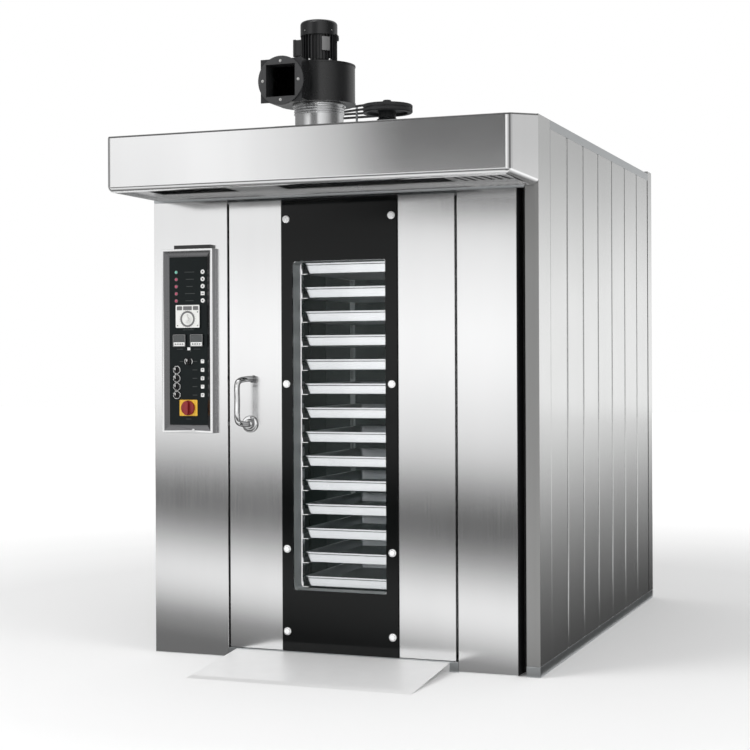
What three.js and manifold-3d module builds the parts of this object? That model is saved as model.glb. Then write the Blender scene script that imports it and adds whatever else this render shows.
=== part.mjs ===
// Electric rotating rack oven with a roof-driven rack, a steam hood and its blower.
// Millimetres, +Z up. The origin is on the floor under the middle of the cabinet,
// +X is to the right of someone facing the door and -Y is the side the door is on.
import * as THREE from 'three';
import { mergeVertices } from 'three/addons/utils/BufferGeometryUtils.js';
import Module from 'manifold-3d';

const wasm = await Module();
wasm.setup();

// Clearances between pieces
const fit = 0.3;               // between pieces that touch
const doorGap = 10;            // round the door
const wheelGap = 3;            // round a wheel in its fork

// Cabinet
const bodyWidth = 1690;
const bodyDepth = 2270;
const bodyHeight = 2200;
const wallThickness = 57;
const roofBand = 36;
const ceilingDrop = 84;        // insulation under the roof band
const baseHeight = 42;
const sheetStep = 3;           // how far one side sheet laps over the next
const sheetCount = 7;
const cornerTrim = 180;        // depth of the flat trim at the front of a side
const rearPost = 95;
const postRise = 12;           // rear posts above the roof
const edgeSetback = 6;         // inner part of the wall's front edge

// Front frame and door
const leftColumnWidth = 345;
const rightColumnWidth = 245;
const cornerRecess = 33;       // dark slot between the right column and the wall
const lintelDrop = 285;        // column tops below the roof
const leafThickness = 80;
const sealGap = 12;            // behind the closed leaf
const sealLip = 40;            // frame behind the edge of the leaf
const lipThickness = 40;
const doorBottom = 45;
const glassStripWidth = 508;
const glassThickness = 8;
const windowWidth = 408;
const windowBottom = 296;
const windowHeight = 1354;
const windowRadius = 18;
const innerGlassThickness = 6;
const innerGlassMargin = 22;
const capDiameter = 30;
const capHeight = 7;
const capStud = 12;
const capInset = 23;
const capEnd = 80;             // end caps from the ends of the glass
const capShares = [0, 0.2, 0.6, 1];
const gasketWidth = 22;
const gasketInset = 12;
const hingeInset = 30;         // hinge axis from the leaf's right edge
const hingeDepth = 23;         // hinge axis behind the leaf's face

// Door handle, which turns a latch cam inside the leaf
const handleInset = 94;        // spindle from the leaf's left edge
const handleHeight = 978;
const handleProud = 88;
const gripRadius = 12;
const gripRise = 188;          // top arm above the spindle
const gripOffset = 18;         // grip to the left of the spindle
const rosetteDiameter = 70;
const rosetteThickness = 10;
const spindleDiameter = 18;
const camThickness = 14;
const camWidth = 30;
const camNose = 4;             // reach of the cam past the leaf's edge
const camDepth = 34;           // middle of the cam behind the leaf's face
const camPlay = 3;

// Ramp
const rampWidth = 935;
const rampLength = 460;
const rampHeight = 38;
const rampPlate = 4;

// Control box
const boxWidth = 240;
const boxHeight = 776;
const boxDrop = 201;           // box below the column's top
const boxOffset = 50;          // from the cabinet's left side
const boxProud = 30;
const boxFrame = 12;
const fasciaSide = 32;         // fascia from the box's sides
const fasciaEnd = 35;          // and from its ends
const fasciaDepth = 14;        // fascia's face behind the frame's
const fasciaThickness = 5;
const boxCapHeight = 16;
const boxCapWidth = 170;
const moduleProud = 6;
const timerWidth = 112;
const timerHeight = 96;
const timerLift = 103;         // instruments from the box's middle
const timerKnobDrop = 11;
const controllerWidth = 59;
const controllerHeight = 52;
const controllerSpacing = 81;
const controllerLift = 2;
const switchPlateWidth = 84;
const switchPlateHeight = 68;
const switchRise = 106;        // from the box's bottom
const switchPlateProud = 2;
const switchKnobDiameter = 62;
const switchKnobHeight = 26;
const timerKnobDiameter = 34;
const timerKnobHeight = 15;
const selectorDiameter = 26;
const selectorHeight = 16;
const selectorX = -56;         // column of selectors from the fascia's middle
const selectorCount = 4;
const selectorLift = -122;
const selectorPitch = 35.3;
const centreSelectorLift = -86;
const lampCount = 5;
const lampLift = 291;
const lampPitch = 30.25;
const lampDiameter = 11;
const lampProud = 4;

// Hood
const hoodProjection = 400;
const hoodGap = 7;             // underside above the column tops
const hoodFall = 52;           // front edge of its top below the roof
const hoodCorner = 22;         // radius of the front's upright edges
const hoodRoll = 24;           // radius of the rolled lower front edge
const hoodSheet = 16;
const hoodLip = 26;            // rolled edge round the underside
const grilleThickness = 3;
const grilleRecess = 14;
const intakeDepth = 170;
const leftIntake = [110, 462];  // its ends from the hood's left
const rightIntake = [1011, 304]; // its ends from the hood's right
const louvreCount = 6;
const louvrePitch = 35;
const louvreWidth = 14;
const louvreInset = 83;        // last slot from the hood's right

// Steam blower on the hood
const blowerSetback = 200;     // its axis behind the hood's front
const collarDiameter = 200;
const collarRise = 52;         // above the roof
const collarSheet = 5;
const beadRadius = 4;
const beadCount = 3;
const collarFlange = 6;        // reach of the spigot's top flange
const collarFlangeHeight = 8;
const casingHeight = 156;
const casingSheet = 4;
const scrollRadius = 140;      // at the right of the axis
const scrollGrowth = 40;       // gain in radius over one full turn
const outletReach = 200;       // outlet plate ahead of the axis
const outletPlate = 172;
const outletPlateHeight = 168;
const outletDrop = 6;          // outlet's middle below the casing's
const outletPlateThickness = 6;
const outletFlange = 190;
const outletWidth = 121;
const outletHeight = 124;
const outletBoltCircle = 150;
const outletBolt = 10;
const impellerDiameter = 196;
const impellerHeight = 110;
const bladeCount = 9;
const bladeThickness = 3;
const blowerShaft = 24;
const blowerShaftRise = 40;    // shaft's end above the casing
const impellerGap = 6;         // under the casing's top
const motorDiameter = 145;
const motorLength = 121;
const motorFlange = 172;
const cowlHeight = 58;
const finCount = 12;
const finDepth = 7;
const terminalReach = 26;      // terminal box beside the motor
const terminalWidth = 64;
const terminalHeight = 66;
const terminalRise = 38;       // above the motor's foot
const eyeReach = 12;
const eyeWidth = 8;

// Rack drive on the roof
const rackSetback = 575;       // rack axis behind the front face
const pulleyDiameter = 220;
const pulleyLift = 24;         // above the bearing
const pulleyHeight = 36;
const beltWidth = 11;
const beltDepth = 9;
const beltSpacing = 17;
const pulleyHub = 78;
const driveShaft = 36;
const shaftNut = 41;
const bearingRise = 108;       // above the roof
const bearingDiameter = 96;
const bearingFlange = 150;
const smallPulleyDiameter = 110;
const gearmotorX = -345;       // from the rack axis
const gearmotorY = 62;
const gearboxSize = 120;
const gearboxDrop = 8;         // gearbox's top below the bearing's
const gearmotorShaft = 28;
const gearmotorShaftDepth = 30; // shaft inside the gearbox
const gearmotorLength = 210;
const gearmotorDiameter = 110;
const beltPostX = -155;        // guard post between the belt's runs, from the rack axis
const beltPostDiameter = 10;
const beltPostFoot = 34;
const shaftClearance = 5;      // round the shaft where it passes the roof

// Rack and trays
const levelCount = 15;
const trayCount = 14;
const lowestRail = 171.5;
const topTrayRoom = 196.5;     // above the highest tray
const trayWidth = 530;
const trayLength = 650;
const trayHeight = 45;
const trayTaper = 13;
const traySheet = 2;
const trayRim = 3;
const trayCorner = 16;
const rackTube = 25;
const rackWidth = 600;
const hangerRoom = 200;        // rack below the ceiling
const railSheet = 3;
const railLeg = 27;
const railRise = 20;
const stopBar = 24;
const swivelPin = 18;
const axlePin = 10;
const hangerBar = 30;
const hangerWidth = 50;
const hookSheet = 8;
const wheelDiameter = 75;
const wheelWidth = 26;
const wheelLift = 15;          // hanging rack above the chamber floor
const wheelTrail = 25;
const forkSheet = 4;
const castorX = 235;
const castorY = 270;

// Air system
const baffleOffset = 505;      // slotted baffle from the rack axis
const baffleSheet = 4;
const slotRows = 4;
const slotColumns = 3;
const slotWidth = 30;
const slotHeight = 300;
const slotMargin = 70;
const bulkheadSetback = 1075;  // behind the front face
const bulkheadSheet = 6;
const windowCount = 4;         // air windows at each side of the bulkhead
const windowBar = 110;
const windowMargin = 40;
const heaterRows = 6;
const heaterPitch = 230;
const heaterTube = 16;
const heaterReach = 330;
const heaterBend = 160;
const heaterStart = 200;       // lowest tube above the chamber floor
const heaterFlange = 90;
const heaterFlangeSheet = 5;
const circulationSetback = 1690;
const circulationFan = 420;
const circulationFanHeight = 130;
const circulationMotor = 190;
const circulationMotorLength = 220;
const circulationShaft = 28;

// Derived places
const halfWidth = bodyWidth / 2;
const frontY = -bodyDepth / 2;
const rearY = bodyDepth / 2;
const innerX = halfWidth - wallThickness;
const wallTop = bodyHeight - roofBand;
const ceiling = wallTop - ceilingDrop;
const columnTop = bodyHeight - lintelDrop;
const hoodBottom = columnTop + hoodGap;
const hoodFrontTop = bodyHeight - hoodFall;
const collarTop = bodyHeight + collarRise;
const bearingTop = bodyHeight + bearingRise;
const pulleyBottom = bearingTop + pulleyLift;
const rackTop = ceiling - hangerRoom;
const trayPitch = (rackTop - rackTube - topTrayRoom - trayHeight - lowestRail) / (levelCount - 1);
const boxBottom = columnTop - boxDrop - boxHeight;
const fasciaWidth = boxWidth - 2 * fasciaSide;
const fasciaHeight = boxHeight - 2 * fasciaEnd;
const sealY = frontY + leafThickness + sealGap;
const frameRearY = sealY + lipThickness;
const leftOpening = -halfWidth + leftColumnWidth;
const rightOpening = innerX - cornerRecess - rightColumnWidth;
const doorLeft = leftOpening + doorGap;
const doorRight = rightOpening - doorGap;
const doorTop = columnTop - doorGap;
const axisX = (doorLeft + doorRight) / 2;
const rackY = frontY + rackSetback;
const hoodFrontY = frontY - hoodProjection;
const blowerY = hoodFrontY + blowerSetback;
const hoodSlope = (bodyHeight - hoodFrontTop) / hoodProjection;
const boxX = -halfWidth + boxOffset + boxWidth / 2;
const boxZ = boxBottom + boxHeight / 2;
const boxFrontY = frontY - fit - boxProud;
const fasciaFrontY = boxFrontY + fasciaDepth;
const moduleFrontY = fasciaFrontY - moduleProud;
const spindleX = doorLeft + handleInset;
const bulkheadY = frontY + bulkheadSetback;
const casingTop = collarTop + fit + casingHeight;
const smallPulleyX = axisX + gearmotorX;
const smallPulleyY = rackY + gearmotorY;

// Shape helpers

const toSolid = (geometry) => {
  const bare = geometry.clone();
  bare.deleteAttribute('normal');
  bare.deleteAttribute('uv');
  const merged = mergeVertices(bare, 1e-4);
  return new wasm.Manifold(new wasm.Mesh({
    numProp: 3,
    vertProperties: new Float32Array(merged.attributes.position.array),
    triVerts: new Uint32Array(merged.index.array),
  }));
};

const toGeometry = (solid) => {
  const { vertProperties, triVerts } = solid.getMesh();
  const geometry = new THREE.BufferGeometry();
  geometry.setAttribute('position', new THREE.BufferAttribute(new Float32Array(vertProperties), 3));
  geometry.setIndex(new THREE.BufferAttribute(new Uint32Array(triVerts), 1));
  geometry.computeVertexNormals();
  return geometry;
};

const shared = (one, other) => toGeometry(toSolid(one).intersect(toSolid(other)));

const join = (...pieces) => toGeometry(pieces.map(toSolid).reduce((whole, piece) => whole.add(piece)));

const cut = (body, ...tools) =>
  toGeometry(tools.map(toSolid).reduce((rest, tool) => rest.subtract(tool), toSolid(body)));

const block = (x0, x1, y0, y1, z0, z1) =>
  new THREE.BoxGeometry(x1 - x0, y1 - y0, z1 - z0).translate((x0 + x1) / 2, (y0 + y1) / 2, (z0 + z1) / 2);

const outline = (points) => new THREE.Shape(points.map(([x, y]) => new THREE.Vector2(x, y)));

const extrude = (shape, depth, curveSegments = 4) =>
  new THREE.ExtrudeGeometry(shape, { depth, bevelEnabled: false, curveSegments });

// A plan outline rises along Z, a side outline (Y, Z) runs along X and a front outline (X, Z) runs along Y
const planPiece = (shape, z0, z1) => extrude(shape, z1 - z0).translate(0, 0, z0);
const sidePiece = (shape, x0, x1) =>
  extrude(shape, x1 - x0).rotateX(Math.PI / 2).rotateZ(Math.PI / 2).translate(x0, 0, 0);
const frontPiece = (shape, y0, y1) => extrude(shape, y1 - y0).rotateX(Math.PI / 2).translate(0, y1, 0);

const roundedBox = (width, height, radius) => {
  const x = width / 2;
  const y = height / 2;
  const shape = new THREE.Shape();
  shape.moveTo(-x + radius, -y);
  shape.lineTo(x - radius, -y);
  shape.absarc(x - radius, -y + radius, radius, -Math.PI / 2, 0, false);
  shape.lineTo(x, y - radius);
  shape.absarc(x - radius, y - radius, radius, 0, Math.PI / 2, false);
  shape.lineTo(-x + radius, y);
  shape.absarc(-x + radius, y - radius, radius, Math.PI / 2, Math.PI, false);
  shape.lineTo(-x, -y + radius);
  shape.absarc(-x + radius, -y + radius, radius, Math.PI, Math.PI * 1.5, false);
  return shape;
};

// A turned piece: radius and height pairs, standing along +Z or pointing to the front along -Y
const turned = (profile, sides = 24) =>
  new THREE.LatheGeometry(profile.map(([r, h]) => new THREE.Vector2(r, h)), sides).rotateX(Math.PI / 2);
const facingFront = (geometry) => geometry.rotateX(Math.PI / 2);
const facingRight = (geometry) => geometry.rotateY(Math.PI / 2);

const cylinder = (radius, z0, z1, sides = 24) =>
  new THREE.CylinderGeometry(radius, radius, z1 - z0, sides).rotateX(Math.PI / 2).translate(0, 0, (z0 + z1) / 2);

// Radius of a faceted round hole whose flats stay clear of a turning shaft
const holeRadius = (shaftDiameter, sides) => (shaftDiameter / 2 + fit) / Math.cos(Math.PI / sides);

const tube = (points, radius, steps, sides = 8) => {
  const section = new THREE.Shape();
  section.absarc(0, 0, radius, 0, Math.PI * 2, false);
  const path = new THREE.CatmullRomCurve3(points.map((p) => new THREE.Vector3(...p)), false, 'centripetal');
  return new THREE.ExtrudeGeometry(section, { extrudePath: path, steps, curveSegments: sides });
};

// Finishes
const finish = (color, roughness, metalness) =>
  new THREE.MeshStandardMaterial({ color, roughness, metalness });
const brushedSteel = finish(0xc8cac9, 0.32, 1);
const sideSteel = finish(0xb4b8bb, 0.38, 1);
const polishedSteel = finish(0xe2e4e5, 0.12, 1);
const traySteel = finish(0xdde2e6, 0.35, 0.9);
const galvanised = finish(0x9da3a6, 0.5, 0.9);
const blackPaint = finish(0x16171a, 0.35, 0.2);
const blackGlass = finish(0x0b0d0d, 0.06, 0);
const blackPlastic = finish(0x1c1c1e, 0.45, 0);
const redPlastic = finish(0x7a1618, 0.4, 0);
const whitePlastic = finish(0xe9e9e6, 0.4, 0);
const sealRubber = finish(0x2a2a2a, 0.85, 0);
const heaterSteel = finish(0x6d6a64, 0.55, 0.8);

const oven = new THREE.Group();

const add = (name, geometry, material, position = [0, 0, 0], parent = oven) => {
  const mesh = new THREE.Mesh(geometry, material);
  mesh.name = name;
  mesh.position.set(...position);
  parent.add(mesh);
  return mesh;
};

// Cabinet

const addCabinet = () => {
  const base = outline([
    [-halfWidth, frameRearY + fit],
    [leftOpening + sealLip + fit, frameRearY + fit],
    [leftOpening + sealLip + fit, sealY - fit],
    [leftOpening + fit, sealY - fit],
    [leftOpening + fit, frontY],
    [rightOpening - fit, frontY],
    [rightOpening - fit, sealY - fit],
    [rightOpening - sealLip - fit, sealY - fit],
    [rightOpening - sealLip - fit, frameRearY + fit],
    [innerX, frameRearY + fit],
    [innerX, frontY],
    [halfWidth, frontY],
    [halfWidth, rearY],
    [-halfWidth, rearY],
  ]);
  add('base_floor', planPiece(base, 0, baseHeight), sideSteel);

  // Each side is a row of sheets that lap over the next one, between a flat trim and a rear post
  const sideOutline = (fromY) => {
    const sheetsFrom = frontY + cornerTrim;
    const sheetsTo = rearY - rearPost;
    const pitch = (sheetsTo - sheetsFrom) / sheetCount;
    const points = [[halfWidth, fromY], [halfWidth, sheetsFrom]];
    for (let i = 0; i < sheetCount; i += 1) {
      points.push([halfWidth - sheetStep, sheetsFrom + i * pitch]);
      points.push([halfWidth - sheetStep / 3, sheetsFrom + (i + 1) * pitch]);
    }
    points.push([halfWidth, sheetsTo], [halfWidth, rearY], [innerX + fit, rearY]);
    return points;
  };
  const rightOutline = [
    ...sideOutline(frontY),
    [innerX + fit, frontY + edgeSetback],
    [halfWidth - wallThickness / 3, frontY + edgeSetback],
    [halfWidth - wallThickness / 3, frontY],
  ];
  const leftOutline = [...sideOutline(frameRearY + fit), [innerX + fit, frameRearY + fit]];
  const wallSpan = [baseHeight + fit, wallTop - fit];
  const trim = block(innerX + fit, halfWidth, frontY + edgeSetback, frontY + cornerTrim, wallTop - 1, bodyHeight);
  const trimEdge = block(
    halfWidth - wallThickness / 3, halfWidth, frontY, frontY + edgeSetback + 1, wallTop - 1, bodyHeight);
  const post = block(
    innerX + fit, halfWidth, rearY - rearPost, rearY, wallTop - 1, bodyHeight + postRise);
  add('right_side_wall', join(planPiece(outline(rightOutline), ...wallSpan), trim, trimEdge, post), sideSteel);
  const mirrored = leftOutline.map(([x, y]) => [-x, y]).reverse();
  const leftPost = post.clone().translate(-innerX - fit - halfWidth, 0, 0);
  add('left_side_wall', join(planPiece(outline(mirrored), ...wallSpan), leftPost), sideSteel);

  const backPanel = block(-innerX, innerX, rearY - wallThickness, rearY, ...wallSpan);
  add('back_wall', backPanel, sideSteel);

  const addColumn = (name, points) =>
    add(name, planPiece(outline(points), 0, columnTop), brushedSteel);
  addColumn('left_front_column', [
    [-halfWidth, frontY],
    [leftOpening, frontY],
    [leftOpening, sealY],
    [leftOpening + sealLip, sealY],
    [leftOpening + sealLip, frameRearY],
    [-halfWidth, frameRearY],
  ]);
  const columnRight = innerX - cornerRecess;
  addColumn('right_front_column', [
    [rightOpening, frontY],
    [columnRight, frontY],
    [columnRight, sealY],
    [innerX - fit, sealY],
    [innerX - fit, frameRearY],
    [rightOpening - sealLip, frameRearY],
    [rightOpening - sealLip, sealY],
    [rightOpening, sealY],
  ]);
};

// The roof: band, insulation, the lintel over the door and the hole for the rack's shaft
const addRoof = () => {
  const band = block(-halfWidth, halfWidth, frontY, rearY, wallTop, bodyHeight);
  const insulation = block(
    -innerX + fit, innerX - fit, frameRearY - 1, rearY - wallThickness - fit, ceiling, wallTop + 1);
  const lintelOutline = outline([
    [frontY, columnTop + fit],
    [sealY, columnTop + fit],
    [sealY, columnTop + fit - sealLip],
    [frameRearY, columnTop + fit - sealLip],
    [frameRearY, wallTop + 1],
    [frontY, wallTop + 1],
  ]);
  const lintel = sidePiece(lintelOutline, leftOpening + sealLip + fit, rightOpening - sealLip - fit);
  const shoulderOutline = outline([
    [frontY, columnTop + fit],
    [frameRearY, columnTop + fit],
    [frameRearY, wallTop + 1],
    [frontY, wallTop + 1],
  ]);
  const shoulders = sidePiece(shoulderOutline, -halfWidth, innerX - fit);
  const leftWallRoom = block(
    -halfWidth - 1, -innerX + fit, frameRearY + fit, rearY + 1, ceiling - 1, wallTop);
  const trimRoom = block(
    innerX, halfWidth + 1, frontY - 1, frontY + cornerTrim + fit, wallTop - 1, bodyHeight + 1);
  const postRooms = [[-halfWidth - 1, -innerX], [innerX, halfWidth + 1]].map(([x0, x1]) =>
    block(x0, x1, rearY - rearPost - fit, rearY + 1, wallTop - 1, bodyHeight + 1));
  const shaftHole = cylinder(driveShaft / 2 + shaftClearance, ceiling - 1, bodyHeight + 1)
    .translate(axisX, rackY, 0);

  // The guard post stands between the two runs of the belt, half way to the gearmotor
  const postTop = pulleyBottom + pulleyHeight + shaftClearance;
  const beltPost = turned([
    [0, bodyHeight - 1],
    [beltPostFoot / 2, bodyHeight - 1],
    [beltPostFoot / 2, bodyHeight + 6],
    [beltPostDiameter / 2, bodyHeight + 10],
    [beltPostDiameter / 2, postTop],
    [0, postTop],
  ], 10).translate(axisX + beltPostX, rackY + (gearmotorY * beltPostX) / gearmotorX, 0);
  const roof = cut(join(band, insulation, lintel, shoulders), leftWallRoom, trimRoom, ...postRooms, shaftHole);
  add('roof', join(roof, beltPost), sideSteel);
};

// Door

const addDoor = () => {
  const leafRearY = frontY + leafThickness;
  const windowZ = windowBottom + windowHeight / 2;
  const leafBlank = block(doorLeft, doorRight, frontY, leafRearY, doorBottom, doorTop);
  const windowCut = frontPiece(roundedBox(windowWidth, windowHeight, windowRadius), frontY - 1, leafRearY + 1)
    .translate(axisX, 0, windowZ);
  const rebateWidth = windowWidth + 2 * innerGlassMargin;
  const rebateHeight = windowHeight + 2 * innerGlassMargin;
  const rebate = frontPiece(
    roundedBox(rebateWidth, rebateHeight, windowRadius),
    leafRearY - innerGlassThickness - fit, leafRearY + 1,
  ).translate(axisX, 0, windowZ);
  const camRadius = handleInset + camNose;
  const mortise = facingFront(cylinder(camRadius + camPlay, 0, camThickness + 2 * camPlay, 20))
    .translate(spindleX, frontY + camDepth + camThickness / 2 + camPlay, handleHeight);
  const spindleHole = facingFront(cylinder(holeRadius(spindleDiameter, 16), 0, camDepth + 2, 16))
    .translate(spindleX, frontY + camDepth + 1, handleHeight);
  const leaf = cut(leafBlank, windowCut, rebate, mortise, spindleHole);

  const capX = glassStripWidth / 2 - capInset;
  const capFrom = doorBottom + capEnd;
  const capSpan = doorTop - capEnd - capFrom;
  const capPlaces = [-capX, capX].flatMap((x) => capShares.map((share) => [axisX + x, capFrom + share * capSpan]));
  const glassFront = fit + glassThickness;
  const stud = facingFront(turned([
    [0, -4],
    [capStud / 2, -4],
    [capStud / 2, glassFront + fit],
    [capDiameter / 2, glassFront + fit],
    [capDiameter / 2 - 1, glassFront + capHeight],
    [0, glassFront + capHeight],
  ], 6));
  const studs = capPlaces.map(([x, z]) => stud.clone().translate(x, frontY, z));
  add('door_leaf', join(leaf, ...studs), brushedSteel);

  const glass = block(
    axisX - glassStripWidth / 2, axisX + glassStripWidth / 2,
    frontY - glassFront, frontY - fit, doorBottom, doorTop);
  const studHole = facingFront(cylinder(capStud / 2 + 2 * fit, -1, glassFront + 1, 6));
  const studHoles = capPlaces.map(([x, z]) => studHole.clone().translate(x, frontY, z));
  add('door_glass', cut(glass, ...studHoles), blackGlass);

  const innerGlass = frontPiece(
    roundedBox(rebateWidth - 2 * fit, rebateHeight - 2 * fit, windowRadius),
    leafRearY - innerGlassThickness, leafRearY);
  add('door_inner_glass', innerGlass, blackGlass, [axisX, 0, windowZ]);

  const gasketShape = roundedBox(
    doorRight - doorLeft - 2 * gasketInset - 2 * hingeInset,
    doorTop - doorBottom - 2 * gasketInset, gasketWidth);
  gasketShape.holes.push(roundedBox(
    doorRight - doorLeft - 2 * (gasketInset + hingeInset + gasketWidth),
    doorTop - doorBottom - 2 * (gasketInset + gasketWidth), gasketWidth / 2));
  const gasket = extrude(gasketShape, sealY - leafRearY - 2 * fit, 2).rotateX(Math.PI / 2)
    .translate(0, sealY - fit, 0);
  add('door_gasket', gasket, sealRubber, [axisX, 0, (doorTop + doorBottom) / 2]);
};

// Handle, its spindle through the leaf and the latch cam on the spindle's end
const addHandle = () => {
  const rosette = turned([
    [0, fit],
    [rosetteDiameter / 2, fit],
    [rosetteDiameter / 2, rosetteThickness - 3],
    [rosetteDiameter / 2 - 4, rosetteThickness],
    [gripRadius + 7, rosetteThickness + 4],
    [gripRadius + 4, rosetteThickness + 16],
    [0, rosetteThickness + 16],
  ], 16);
  const spindle = cylinder(spindleDiameter / 2, -camDepth - camThickness / 2, rosetteThickness, 16);
  const cam = planPiece(outline([
    [spindleDiameter, -camWidth / 2],
    [spindleDiameter, camWidth / 2],
    [-handleInset * 0.6, camWidth / 2],
    [-handleInset - camNose + 1, camWidth / 4],
    [-handleInset - camNose + 1, -camWidth / 4],
    [-handleInset * 0.6, -camWidth / 2],
  ]), -camDepth - camThickness / 2, -camDepth + camThickness / 2);
  const bend = gripRadius * 2.2;
  const topEnd = 2;
  const grip = tube([
    [0, 0, rosetteThickness],
    [-2, 0, handleProud * 0.45],
    [-gripOffset * 0.7, bend * 0.25, handleProud - bend * 0.4],
    [-gripOffset, bend, handleProud],
    [-gripOffset, gripRise / 2, handleProud],
    [-gripOffset, gripRise - bend, handleProud],
    [-gripOffset * 0.6, gripRise - bend * 0.25, handleProud - bend * 0.4],
    [4, gripRise, handleProud * 0.5],
    [10, gripRise, topEnd],
  ], gripRadius, 16, 4);
  const collar = cylinder(gripRadius + 3, topEnd, topEnd + 9, 16).translate(10, gripRise, 0);
  const handle = facingFront(join(rosette, spindle, cam, grip, collar));
  add('door_handle', handle, polishedSteel, [spindleX, frontY, handleHeight]);
};

// Control box on the left column

const addControls = () => {
  const x0 = boxX - boxWidth / 2;
  const x1 = boxX + boxWidth / 2;
  const housingBlank = block(x0, x1, boxFrontY, frontY - fit, boxBottom, boxBottom + boxHeight);
  const recessDepth = fasciaDepth + fasciaThickness + fit;
  const mouth = new THREE.BoxGeometry(1, 1, 1).translate(0, 0, 0.5);
  const corners = mouth.attributes.position;
  for (let i = 0; i < corners.count; i += 1) {
    const atMouth = corners.getZ(i) > 0.5;
    const width = atMouth ? boxWidth - 2 * boxFrame : fasciaWidth + 2 * fit;
    const height = atMouth ? boxHeight - 2 * boxFrame : fasciaHeight + 2 * fit;
    corners.setXYZ(i, corners.getX(i) * width, corners.getY(i) * height, atMouth ? fasciaDepth + 0.01 : 0);
  }
  const bevel = facingFront(mouth).translate(boxX, boxFrontY + fasciaDepth, boxZ);
  const seat = block(
    boxX - fasciaWidth / 2 - fit, boxX + fasciaWidth / 2 + fit,
    boxFrontY + fasciaDepth - 0.01, boxFrontY + recessDepth,
    boxZ - fasciaHeight / 2 - fit, boxZ + fasciaHeight / 2 + fit);
  const cap = block(
    x1 - boxCapWidth - boxFrame, x1 - boxFrame, boxFrontY + 5, frontY - fit,
    boxBottom + boxHeight - 1, boxBottom + boxHeight + boxCapHeight);
  const lockBump = facingFront(cylinder(7, 0, 4, 16)).translate(boxX + 30, boxFrontY + 1, boxBottom + boxFrame);
  add('control_housing', join(cut(housingBlank, bevel, seat), cap, lockBump), brushedSteel);

  const module = (x, z, width, height, proud = moduleProud) => block(
    boxX + x - width / 2, boxX + x + width / 2, fasciaFrontY - proud, fasciaFrontY + 1,
    z - height / 2, z + height / 2);
  const plate = block(
    boxX - fasciaWidth / 2, boxX + fasciaWidth / 2, fasciaFrontY, fasciaFrontY + fasciaThickness,
    boxZ - fasciaHeight / 2, boxZ + fasciaHeight / 2);
  const lamp = facingFront(turned([
    [0, -1],
    [lampDiameter / 2, -1],
    [lampDiameter / 2, lampProud / 2],
    [lampDiameter / 4, lampProud],
    [0, lampProud],
  ], 8));
  const lamps = Array.from({ length: lampCount }, (_, i) =>
    lamp.clone().translate(boxX + selectorX, fasciaFrontY, boxZ + lampLift - i * lampPitch));
  const controllers = [-0.5, 0.5].map((side) =>
    module(side * controllerSpacing, boxZ + controllerLift, controllerWidth, controllerHeight));
  const switchZ = boxBottom + switchRise;
  const fascia = join(
    plate,
    module(0, boxZ + timerLift, timerWidth, timerHeight),
    ...controllers,
    module(0, switchZ, switchPlateWidth, switchPlateHeight, switchPlateProud),
    ...lamps);
  add('control_fascia', fascia, blackPlastic);

  // A knob with a finger bar across it, seated on its face at the given proud height
  const knob = (diameter, height, barWidth) => {
    const skirt = turned([
      [0, fit],
      [diameter / 2, fit],
      [diameter / 2, height * 0.35],
      [diameter / 2 - 2, height * 0.45],
      [0, height * 0.45],
    ], 12);
    const bar = extrude(roundedBox(barWidth, diameter * 0.94, barWidth * 0.35), height * 0.8, 1)
      .translate(0, 0, height * 0.2);
    return facingFront(join(skirt, bar));
  };
  const switchFaceY = fasciaFrontY - switchPlateProud;
  add('main_switch_knob', knob(switchKnobDiameter, switchKnobHeight, 18), redPlastic,
    [boxX, switchFaceY, switchZ]);
  const timerKnob = facingFront(join(
    turned([
      [0, fit],
      [timerKnobDiameter / 2, fit],
      [timerKnobDiameter / 2 - 2, timerKnobHeight],
      [0, timerKnobHeight],
    ], 16),
    block(-2, 2, 0, timerKnobDiameter / 2 + 5, fit, timerKnobHeight * 0.5)));
  add('timer_dial', timerKnob, whitePlastic, [boxX, moduleFrontY, boxZ + timerLift - timerKnobDrop]);
  const selector = knob(selectorDiameter, selectorHeight, 8);
  for (let i = 0; i < selectorCount; i += 1) {
    const z = boxZ + selectorLift - i * selectorPitch;
    add(`selector_knob_${i + 1}`, selector, blackPlastic, [boxX + selectorX, fasciaFrontY, z]);
  }
  add('upper_selector_knob', selector, blackPlastic, [boxX, fasciaFrontY, boxZ + centreSelectorLift]);
};

// Ramp: one folded plate resting on the floor in front of the threshold
const addRamp = () => {
  const topY = frontY - fit;
  const profile = outline([
    [topY - rampLength, 0],
    [topY - rampLength + rampPlate, 0],
    [topY - rampPlate, rampHeight - rampPlate],
    [topY - rampPlate, 0],
    [topY, 0],
    [topY, rampHeight],
    [topY - rampPlate, rampHeight],
  ]);
  add('ramp', sidePiece(profile, axisX - rampWidth / 2, axisX + rampWidth / 2), galvanised);
};

// Hood

const roofLineZ = (y) => hoodFrontTop + (y - hoodFrontY) * hoodSlope;

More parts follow.
